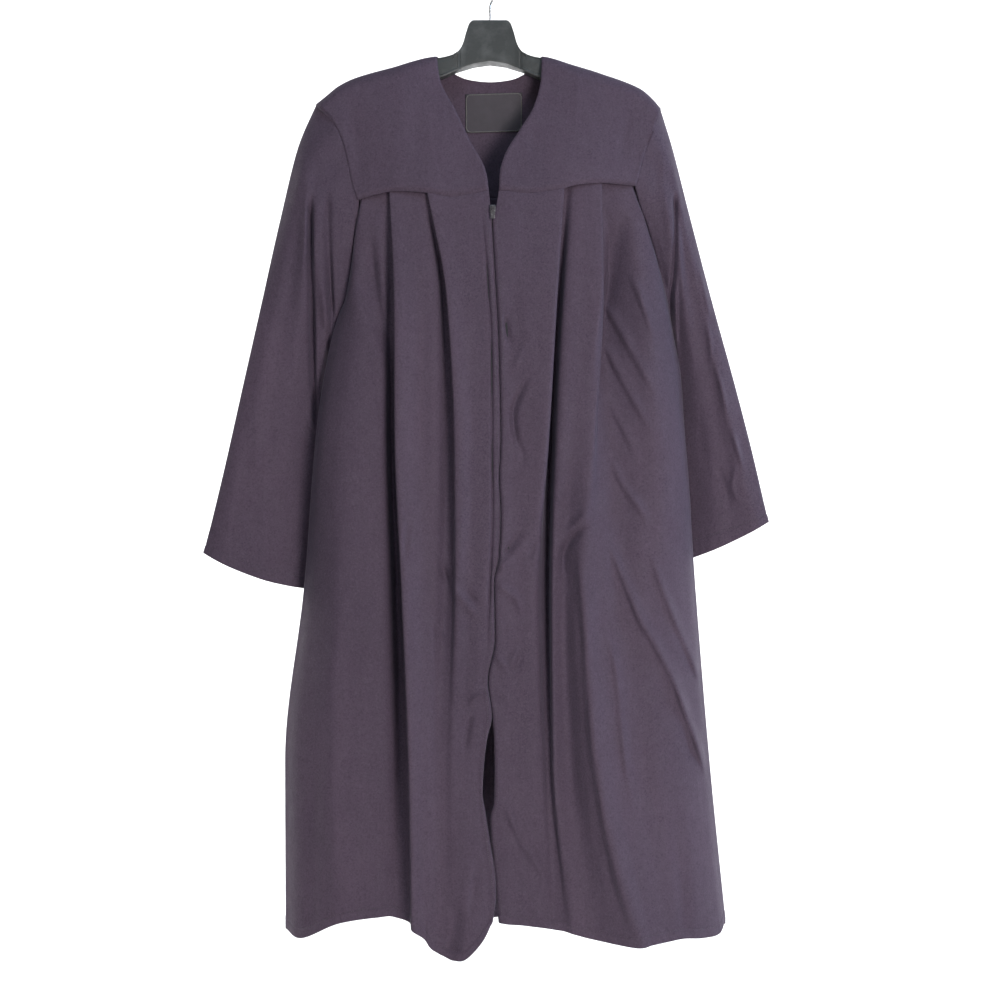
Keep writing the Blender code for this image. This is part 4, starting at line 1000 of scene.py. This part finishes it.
SLEEVE_CREASES = {
    "left": (
        ("seam fold", ((-258, 322), (-258, 412), (-258, 512), (-258, 613),
         (-255, 685)), 4, 4, -15.0, (0.12, 0.2)),
        ("armhole fold", ((-232, 322), (-232, 397), (-230, 469), (-229, 515), (-236, 570),
         (-245, 627)), 5, 4, -13.0, (0.12, 0.35)),
        ("thin fold", ((-215, 338), (-216, 396), (-219, 468)), 3, 3, -3.0, (0.3, 0.3)),
        ("cap fold", ((-256, 270), (-262, 360), (-272, 470), (-282, 580)), 12, 5, 3.6, (0.2, 0.5)),
        ("arm light", ((-318, 520), (-328, 600), (-338, 700), (-344, 790)), 12, 9, 2.6, (0.3, 0.3)),
        ("outer light", ((-340, 620), (-352, 720), (-362, 800), (-368, 850)), 8, 8, -2.2, (0.4, 0.2)),
        ("press line", ((-371, 706), (-328, 722), (-279, 738)), 3, 3, 0.9, (0.3, 0.3)),
        ("inner shade", ((-266, 640), (-270, 720), (-276, 800), (-284, 870)), 9, 7, -2.4, (0.3, 0.3)),
    ),
    "right": (
        ("cap fold", ((265, 325), (267, 390), (265, 443), (261, 483),
         (265, 526)), 3, 4, -10.0, (0.12, 0.3)),
        ("armhole fold", ((231, 359), (240, 402), (250, 448), (255, 477)), 3, 4, -5.0, (0.2, 0.2)),
        ("cap drag", ((246, 262), (250, 330), (258, 400), (262, 440)), 6, 6, 2.8, (0.2, 0.4)),
        ("arm light", ((316, 520), (336, 620), (356, 720), (372, 800)), 9, 12, 2.6, (0.3, 0.2)),
        ("inner shade", ((296, 560), (306, 660), (318, 760)), 8, 9, -2.8, (0.3, 0.3)),
        ("press line", ((300, 700), (340, 690), (376, 676)), 3, 3, 0.8, (0.3, 0.3)),
        ("crumple 1", ((299, 428), (309, 468), (319, 515)), 3, 5, 3.9, (0.4, 0.4)),
        ("crumple 2", ((312, 509), (318, 548), (320, 587)), 3, 4, 3.6, (0.4, 0.4)),
        ("crumple 3", ((320, 558), (335, 616), (346, 670)), 3, 4, 4.2, (0.4, 0.4)),
        ("crumple 4", ((344, 656), (355, 693), (368, 734)), 3, 4, 4.5, (0.4, 0.4)),
        ("crumple 5", ((355, 717), (351, 751), (361, 780)), 3, 4, 3.9, (0.4, 0.3)),
        ("crumple 6", ((326, 714), (341, 751), (348, 789)), 4, 4, -3.3, (0.4, 0.3)),
    ),
}
YOKE_CREASES = {
    "left": (
        ("neck drag", ((-84, 150), (-98, 190), (-104, 250), (-96, 310)), 10, 12, -1.6, (0.3, 0.4)),
        ("shoulder drag", ((-206, 190), (-196, 240), (-182, 300)), 8, 11, -1.8, (0.3, 0.4)),
        ("seam pull", ((-150, 327), (-130, 300), (-118, 262)), 7, 9, 1.0, (0.1, 0.6)),
    ),
    "right": (
        ("neck crease", ((56, 228), (62, 252), (64, 290)), 4, 6, -1.6, (0.3, 0.5)),
        ("shoulder drag", ((204, 196), (196, 240), (186, 300)), 9, 7, -1.6, (0.3, 0.4)),
        ("seam pull", ((120, 318), (112, 290), (110, 250)), 7, 9, 1.0, (0.1, 0.6)),
    ),
}
BACK_YOKE_CREASES = (
    ("left sag", ((-120, 170), (-104, 230), (-96, 300)), 9, 12, -1.4, (0.3, 0.4)),
    ("right sag", ((120, 170), (108, 230), (104, 300)), 12, 9, -1.4, (0.3, 0.4)),
    ("under label", ((-20, 262), (14, 276), (44, 300)), 6, 7, 0.8, (0.4, 0.5)),
)


def hang(piece, node, body="gown"):
    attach(piece, body)
    if node:
        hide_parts(node)


def flat_size(grid):
    """(width, length, area) in metres of the cloth laid flat, from the grid that shows."""
    along = np.linalg.norm(np.diff(grid, axis=0), axis=-1).sum(axis=0)
    down = np.linalg.norm(np.diff(grid, axis=1), axis=-1).sum(axis=1)
    a, b = grid[1:, 1:] - grid[:-1, :-1], grid[1:, :-1] - grid[:-1, 1:]
    area = 0.5 * np.linalg.norm(np.cross(a, b), axis=-1).sum()
    return along.max() * MM, down.max() * MM, area * MM * MM


def declare(grid, closed=False):
    """Works out how large the cloth was cut, with its turnings; the sizes are not kept or passed on."""
    whole = np.concatenate([grid, grid[:1]]) if closed else grid
    width, length, area = flat_size(whole)
    width, length = round(width + 0.02, 3), round(length + 0.02, 3)
    area = round(min(area * 1.03, width * length), 4)


def steady_edges(grid, first=0.0, last=0.0):
    """How freely each place may billow: less near the top seam and the pinned side edges."""
    columns = grid.shape[0]
    down = grid[..., 2] - grid[:, :1, 2]
    free = soft_step(down / 130.0)
    u = np.arange(columns) / (columns - 1)
    if first:
        free = free * soft_step(u / first)[:, None]
    if last:
        free = free * soft_step((1 - u) / last)[:, None]
    return free


# How far from each front's edge the stitching beside the zip runs
EDGE_STITCHES = {"left": 7.5, "right": 7.0}


def sewn_side(grid, ends):
    """Side edges drawn in until front and back meet, as their seam holds them."""
    for end in ends:
        away = np.linalg.norm(grid - grid[end][None], axis=-1)
        grid[..., 1] += (SEAM_MEETS - grid[end][None, :, 1]) * np.exp(-((away / 3.5) ** 2))
    return grid


def build_front(side):
    sign = 1.0 if side == "left" else -1.0
    grid = fine_front(side)
    grid = billowed(grid, FRONT_SEED, steady_edges(grid, last=0.12))
    grid = creased(grid, FRONT_CREASES[side], steady_edges(grid, last=0.06))
    away = np.linalg.norm(np.diff(grid, axis=0), axis=-1).cumsum(axis=0)
    away = np.concatenate([0 * away[:1], away])
    roll = (1 - np.exp(-((away / 2.0) ** 2))) * np.exp(-((away / 11.0) ** 2))
    grid[..., 1] += EDGE_ROLL * roll * soft_step((grid[..., 2] - ZIP_MEETS + 10) / 40.0)
    normal = outward(grid, sign=sign)
    grid = hemmed(grid, HEM_ROWS, normal, seed=3.0 if side == "left" else 8.0)
    grid = sewn_side(grid, (-1,))
    normal = outward(grid, sign=sign)
    name = f"gown_front_{side}"
    piece = cloth_piece(name, grid, CLOTH)
    edge = np.linalg.norm(np.diff(grid, axis=0), axis=-1).cumsum(axis=0)
    lines = [(grid[1:-1, HEM_LINE_ROW], normal[1:-1, HEM_LINE_ROW], {"pitch": 3.2, "skip": 5})]
    rows = range(10, grid.shape[1] - 6)
    columns = [int(np.argmin(np.abs(edge[:, k] - EDGE_STITCHES[side]))) + 1 for k in rows]
    line = np.array([grid[i, k] for i, k in zip(columns, rows)])
    theirs = np.array([normal[i, k] for i, k in zip(columns, rows)])
    lines.append((line, theirs, {"pitch": 2.9, "skip": 0}))
    sewn = stitches(f"{name}_stitching", lines, THREAD)
    hang(piece, f"front_{side}")
    hang(sewn, None)
    declare(grid)
    return grid


def build_back():
    grid = fine_back()
    grid = billowed(grid, 9.0, steady_edges(grid, 0.06, 0.06))
    grid = creased(grid, BACK_CREASES, steady_edges(grid, 0.04, 0.04))
    normal = outward(grid, sign=-1.0)
    grid = sewn_side(hemmed(grid, HEM_ROWS, normal, seed=12.0), (0, -1))
    normal = outward(grid, sign=-1.0)
    piece = cloth_piece("gown_back", grid, CLOTH, back=True)
    lines = [(grid[1:-1, HEM_LINE_ROW], normal[1:-1, HEM_LINE_ROW], {"pitch": 3.2, "skip": 6})]
    sewn = stitches("gown_back_stitching", lines, THREAD, back=True)
    hang(piece, "back")
    hang(sewn, None)
    declare(grid)


def between_seams(grid):
    """How freely each place of a yoke may billow: less near the shoulder and the yoke seam."""
    from_top = grid[..., 2] - grid[:, :1, 2]
    from_seam = grid[:, -1:, 2] - grid[..., 2]
    return soft_step(from_top / 30.0) * soft_step(from_seam / 25.0)


def build_yokes():
    for side in ("left", "right"):
        grid = fine_yoke_front(side)
        free = between_seams(grid)
        grid = billowed(grid, 15.0, free, YOKE_SWELLS)
        grid = creased(grid, YOKE_CREASES[side], free)
        near = grid[:, -1:, 2] - grid[..., 2]
        grid[..., 1] += 0.7 * np.exp(-(((near - 4) / 5.0) ** 2)) - 0.5 * np.exp(-((near / 1.6) ** 2))
        piece = cloth_piece(f"yoke_{side}", grid, CLOTH, YOKE_THICK)
        hang(piece, f"yoke_front_{side}")
        declare(grid)
    grid = fine_yoke_back()
    free = between_seams(grid)
    shelf = 1 - soft_step((60 - np.abs(grid[..., 0])) / 25.0)
    grid = billowed(grid, 21.0, free * shelf, YOKE_SWELLS)
    grid = creased(grid, BACK_YOKE_CREASES, free * shelf)
    near = grid[:, -1:, 2] - grid[..., 2]
    grid[..., 1] += 0.7 * np.exp(-(((near - 4) / 5.0) ** 2)) - 0.5 * np.exp(-((near / 1.6) ** 2))
    piece = cloth_piece("yoke_rear", grid, CLOTH, YOKE_THICK, back=True)
    hang(piece, "yoke_back")
    declare(grid)


def build_sleeve(side, steps=12):
    grid = fine_sleeve(side, steps=steps)
    columns = grid.shape[0]
    inner = steps * [row[0] for row in SLEEVE_FOLDS].index("inner edge")
    u = np.arange(columns)
    front = np.where(u <= inner, u / inner, 0)
    rear = np.where(u > inner, (u - inner) / (columns - inner), 0)
    share = np.maximum(front, rear)
    ease = soft_step(share / 0.14) * soft_step((1 - share) / 0.14)
    free = ease[:, None] * soft_step((grid[..., 2] - grid[:, :1, 2]) / 60.0)
    grid = billowed(grid, 27.0 if side == "left" else 33.0, free, SLEEVE_SWELLS)
    on_front = (u <= inner)[:, None] * free
    on_back = (u > inner)[:, None] * free
    grid = creased(grid, SLEEVE_CREASES[side], on_front)
    mirrored = grid * (1, -1, 1)
    mirrored = creased(mirrored, SLEEVE_CREASES[side][:4], on_back * 0.8)
    grid[..., 1] = np.where(u[:, None] > inner, -mirrored[..., 1], grid[..., 1])
    sign = 1.0 if side == "left" else -1.0
    normal = outward(grid, closed=True, sign=-sign)
    grid = hemmed(grid, HEM_ROWS, normal, seed=17.0 if side == "left" else 19.0)
    normal = outward(grid, closed=True, sign=-sign)
    name = f"gown_sleeve_{side}"
    piece = cloth_piece(name, grid, CLOTH, closed=True)
    ring = np.r_[0:columns, 0]
    lines = [(grid[ring, HEM_LINE_ROW], normal[ring, HEM_LINE_ROW], {"pitch": 3.0, "skip": 0})]
    sewn = stitches(f"{name}_stitching", lines, THREAD)
    hang(piece, f"sleeve_{side}")
    hang(sewn, None)
    declare(grid, closed=True)


# The zip

# Half the fronts' wall, how far below the tape's top the teeth start and how far apart they are
HALF_FRONT = 0.6
TEETH_START = 8.0
TEETH_PITCH = 1.5


def front_depth(down):
    """The least depth of the two fronts beside the zip."""
    levels = (YOKE_SEAM["left"][0][1], CHEST_DOWN, WAIST_DOWN, HIP_DOWN, KNEE_DOWN)
    depths = [min(a, b) for a, b in zip(FRONT_FOLDS["left"][0][3], FRONT_FOLDS["right"][0][3])]
    return smooth(levels, depths[:5], down)


def zip_middle(side, down):
    return edge_across(FRONT_EDGE[side], np.maximum(down, ZIP_MEETS))


def zip_lift(across, down):
    """The same slow unevenness that the fronts have beside the zip."""
    total = 0.0
    for wide, tall, depth in CLOTH_SWELLS:
        total += depth * noise.noise(Vector((across / wide, down / tall, FRONT_SEED)))
    return min(total, 0.0) * float(soft_step((down - 334.0) / 130.0))


def build_zip():
    downs = np.linspace(ZIP_TOP, ZIP_END, 160)
    for side, near, far in (("left", -TAPE_OUTER, -TAPE_INNER), ("right", TAPE_INNER, TAPE_OUTER)):
        behind = HALF_FRONT + LAYER_GAP + TAPE_WALL / 2
        middle = zip_middle(side, downs)
        depth = front_depth(downs)
        grid = []
        for reach in np.linspace(near, far, 7):
            rise = np.array([zip_lift(m + reach, d) for m, d in zip(middle, downs)])
            grid.append(np.stack([middle + reach, depth + rise - behind, downs], axis=1))
        piece = cloth_piece(f"tape_{side}", np.array(grid), TAPE, 0.6)
        hang(piece, f"zip_tape_{side}")
    verts, faces = [], []
    for n in range(int((ZIP_END - ZIP_TOP - TEETH_START) / TEETH_PITCH)):
        down = ZIP_TOP + TEETH_START + n * TEETH_PITCH
        side = 1 if n % 2 else -1
        middle = float(zip_middle("right", down)) - SEAM_GAP / 2
        out = float(front_depth(down)) + zip_lift(middle, down) - HALF_FRONT - LAYER_GAP - CHAIN_THICK / 2
        base = len(verts)
        for x, half, wide in ((2.2, 0.75, 0.6), (0.4, 0.62, 0.5), (-0.7, 0.7, 0.62), (-1.1, 0.4, 0.4)):
            for turn in range(6):
                angle = math.pi / 3 * turn
                verts.append((middle + side * x, out + half * math.sin(angle), down + wide * math.cos(angle)))
        for ring in range(3):
            for turn in range(6):
                a = base + ring * 6 + turn
                b = base + ring * 6 + (turn + 1) % 6
                faces.append((a, b, b + 6, a + 6))
        faces.append(tuple(base + 5 - turn for turn in range(6)))
        faces.append(tuple(base + 18 + turn for turn in range(6)))
    chain = add_mesh("coil_teeth", to_world(np.array(verts)), faces, TEETH)
    hang(chain, "zip_chain")


def finish_cad():
    """The slider and its pull keep their CAD shape, with eased edges and worn paint."""
    for node in ("zip_slider", "zip_pull"):
        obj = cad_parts[node]
        obj.data.materials.clear()
        obj.data.materials.append(PAINTED)
        easing = obj.modifiers.new("eased edges", "BEVEL")
        easing.width = 0.00018
        easing.segments = 2
        easing.limit_method = "ANGLE"
        easing.angle_limit = math.radians(35)


# The label

def label_point(across, down, inset):
    """A place on the inner side of the back yoke, moved in from it."""
    middle = (LABEL_LEFT + LABEL_RIGHT) / 2
    tilted = down + LABEL_TILT * (across - middle)
    return np.array((across, yoke_out(across, tilted) + SEAM_GAP / 2 - inset, tilted))


def rounded_rectangle(left, right, top, bottom, radius, steps=7):
    points = []
    for x, d, start in ((right - radius, top + radius, -90), (right - radius, bottom - radius, 0),
                        (left + radius, bottom - radius, 90), (left + radius, top + radius, 180)):
        for k in range(steps):
            angle = math.radians(start + 90 * k / (steps - 1))
            points.append((x + radius * math.cos(angle), d + radius * math.sin(angle)))
    return points


def build_label():
    ground = np.array([
        [label_point(x, d, 1.4) for d in np.linspace(LABEL_TOP, LABEL_BOTTOM, 24)]
        for x in np.linspace(LABEL_LEFT, LABEL_RIGHT, 34)
    ])
    piece = cloth_piece("blank_label", ground, LABEL, 0.5, back=True)
    hang(piece, "neck_label")
    loop = rounded_rectangle(LABEL_LEFT + 1.2, LABEL_RIGHT - 1.2, LABEL_TOP + 1.2, LABEL_BOTTOM - 1.2, 6.5)
    fine = []
    for (x0, d0), (x1, d1) in zip(loop, loop[1:] + loop[:1]):
        for t in np.linspace(0, 1, max(2, int(math.hypot(x1 - x0, d1 - d0) / 2.5)), endpoint=False):
            fine.append((x0 + (x1 - x0) * t, d0 + (d1 - d0) * t))
    verts, faces = [], []
    count = len(fine)
    for n, (x, d) in enumerate(fine):
        xb, db = fine[n - 1]
        xa, da = fine[(n + 1) % count]
        way = np.array((xa - xb, da - db))
        way /= np.linalg.norm(way)
        side = np.array((-way[1], way[0]))
        for across, inset in ((-0.8, 1.6), (-0.45, 1.95), (0.45, 1.95), (0.8, 1.6)):
            verts.append(label_point(x + side[0] * across, d + side[1] * across, inset))
        for k in range(4):
            a, b = n * 4 + k, n * 4 + (k + 1) % 4
            c, e = ((n + 1) % count) * 4 + (k + 1) % 4, ((n + 1) % count) * 4 + k
            faces.append((a, b, c, e))
    outline = add_mesh("label_outline", to_world(np.array(verts), back=True), faces, OUTLINE)
    facing_out(outline)
    hang(outline, None)


# The hanger

def hanger_profile(across):
    size = abs(across)
    places = [row[0] for row in HANGER_SECTIONS]
    tops = [
        row[1] or shoulder_down(math.copysign(row[0], across)) + ARM_BELOW_CLOTH
        for row in HANGER_SECTIONS
    ]
    resting = [row[0] for row in HANGER_SECTIONS if row[1] is None][0]
    top = float(smooth(places, tops, size))
    if size > resting:
        top = shoulder_down(across) + ARM_BELOW_CLOTH
    return (top, *(float(smooth(places, [row[k] for row in HANGER_SECTIONS], size)) for k in (2, 3, 4)))


def build_hanger():
    places = np.concatenate([np.linspace(0, 60, 61), np.linspace(62, 224, 55), [225, 226]])
    places = np.concatenate([-places[:0:-1], places])
    verts, faces = [], []
    upright, arc = 26, 10
    for across in places:
        top, bottom, half, flange = hanger_profile(across)
        height = bottom - top
        crown = min(half, height / 2) if abs(across) > 52 else min(2.2 + 0.02 * abs(across), height / 2)
        ring = []
        for k in range(arc + 1):
            angle = math.pi * k / arc
            ring.append((half * math.cos(angle), top + crown - crown * math.sin(angle)))
        ease = min(half, height / 2) * 0.5
        start = top + crown
        end = max(bottom - ease - FLANGE_RISE, start + 1)
        for k in range(1, upright - 3):
            ring.append((-half, start + (end - start) * k / (upright - 4)))
        ring.append((-half - (flange - half) * 0.9, bottom - FLANGE_EDGE - 1.0))
        ring.append((-flange, bottom - FLANGE_EDGE))
        ring.append((-flange + 0.4, bottom - 0.4))
        ring.append((-flange + FLANGE_EDGE, bottom))
        for k in range(upright, 0, -1):
            ring.append((half, top + crown + (height - crown) * k / upright))
        panel = soft_step((abs(across) - 45.5) / 1.5) * soft_step((222 - abs(across)) / 3)
        groove = math.exp(-(((abs(across) - 43.8) / 1.0) ** 2))
        for out, down in ring:
            from_top, from_bottom = down - top, bottom - down
            inside = float(soft_step((from_top - 4.0) / 1.4) * soft_step((from_bottom - 2.6) / 1.2))
            plate = float(soft_step((from_top - 1.5) / 1.5) * soft_step((from_bottom - 1.5) / 1.5))
            inset = 1.5 * panel * inside + 0.9 * groove * plate
            lower = 0.35 * float(soft_step((1.6 - from_bottom) / 1.6))
            verts.append((across, out - math.copysign(min(inset + lower, abs(out)), out), down))
    count = len(verts) // len(places)
    for i in range(len(places) - 1):
        for k in range(count):
            a, b = i * count + k, i * count + (k + 1) % count
            faces.append((a, b, b + count, a + count))
    faces.append(tuple(range(count - 1, -1, -1)))
    faces.append(tuple((len(places) - 1) * count + k for k in range(count)))
    piece = add_mesh("hanger_moulding", to_world(np.array(verts)), faces, PLASTIC)
    facing_out(piece)
    piece.data.set_sharp_from_angle(angle=math.radians(40))
    hang(piece, "hanger_body")


def build_hook():
    centre = HOOK_RADIUS - WIRE_RADIUS
    route = list(HOOK_WIRE)
    for degrees in range(HOOK_START, HOOK_END, 6):
        angle = math.radians(degrees)
        route.append((HOOK_RADIUS * math.cos(angle), centre - HOOK_RADIUS * math.sin(angle)))
    route = rounded(np.array(route, float), 3)
    curve = bpy.data.curves.new("wire_hook", "CURVE")
    curve.dimensions = "3D"
    curve.bevel_depth = WIRE_RADIUS * MM
    curve.bevel_resolution = 6
    curve.use_fill_caps = True
    line = curve.splines.new("POLY")
    line.points.add(len(route) - 1)
    for n, (point, (across, down)) in enumerate(zip(line.points, route)):
        point.co = (across * MM, 0, -down * MM, 1)
        point.radius = 0.72 if n == len(route) - 1 else 1.0
    line.use_smooth = True
    curve.materials.append(STEEL)
    obj = bpy.data.objects.new("wire_hook", curve)
    bpy.context.scene.collection.objects.link(obj)
    hang(obj, "hanger_hook")


# The room

def build_room():
    points, faces = [], []
    profile = [(-5.0, -1.72), (3.4, -1.72)]
    for k in range(1, 13):
        angle = math.pi / 2 * k / 12
        profile.append((3.4 + 0.9 * math.sin(angle), -0.82 - 0.9 * math.cos(angle)))
    profile += [(4.3, 0.5), (4.3, 4.4)]
    for x in (-5.0, 5.0):
        points += [(x, y, z) for y, z in profile]
    count = len(profile)
    faces = [(k, k + 1, count + k + 1, count + k) for k in range(count - 1)]
    sweep = add_mesh("pale_sweep", points, faces, PAPER)
    world = bpy.data.worlds.new("soft_room")
    world.use_nodes = True
    ground = world.node_tree.nodes["Background"]
    ground.inputs["Color"].default_value = (1.0, 0.99, 0.985, 1)
    ground.inputs["Strength"].default_value = WORLD_LIGHT
    bpy.context.scene.world = world
    for name, place, target, size, power, colour in LIGHTS:
        lamp = bpy.data.lights.new(name, "AREA")
        lamp.shape = "RECTANGLE"
        lamp.size, lamp.size_y = size
        lamp.energy = power
        lamp.color = colour
        obj = bpy.data.objects.new(name, lamp)
        obj.location = place
        obj.rotation_euler = (Vector(target) - Vector(place)).to_track_quat("-Z", "Y").to_euler()
        bpy.context.scene.collection.objects.link(obj)
    camera = bpy.data.cameras.new("camera")
    camera.sensor_fit = "AUTO"
    camera.angle = 2 * math.atan(0.725 / 2.5)
    camera.clip_start, camera.clip_end = 0.05, 50
    obj = bpy.data.objects.new("camera", camera)
    obj.location = (0.0145, -2.5, -0.7714)
    obj.rotation_euler = (math.pi / 2, 0, 0)
    bpy.context.scene.collection.objects.link(obj)
    bpy.context.scene.camera = obj
    bpy.context.scene.view_settings.view_transform = "Standard"


WORLD_LIGHT = 0.16
# light, place, what it points at, width and height, watts, colour
LIGHTS = (
    ("key", (0.85, -1.95, -0.6), (0.03, 0, -0.68), (0.6, 0.8), 30, (1.0, 0.975, 0.965)),
    ("side", (2.8, -0.25, 0.1), (0.1, 0, -0.5), (0.7, 1.0), 34, (0.5, 0.74, 1.0)),
    ("fill", (-2.4, -2.6, -0.3), (0, 0, -0.8), (1.8, 2.2), 7, (0.94, 0.97, 1.0)),
    ("top", (0.2, -1.1, 1.3), (0, 0.05, -0.25), (1.6, 1.0), 16, (0.6, 0.8, 1.0)),
    ("backdrop left", (-2.6, 1.3, 0.6), (-0.8, 4.0, -1.0), (1.4, 2.2), 170, (1.0, 1.0, 1.0)),
    ("backdrop right", (2.6, 1.3, 0.6), (0.8, 4.0, -1.0), (1.4, 2.2), 170, (1.0, 1.0, 1.0)),
)

build_front("left")
build_front("right")
build_back()
build_yokes()
build_sleeve("left")
build_sleeve("right")
build_zip()
finish_cad()
build_label()
build_hanger()
build_hook()
build_room()

bpy.context.view_layer.update()
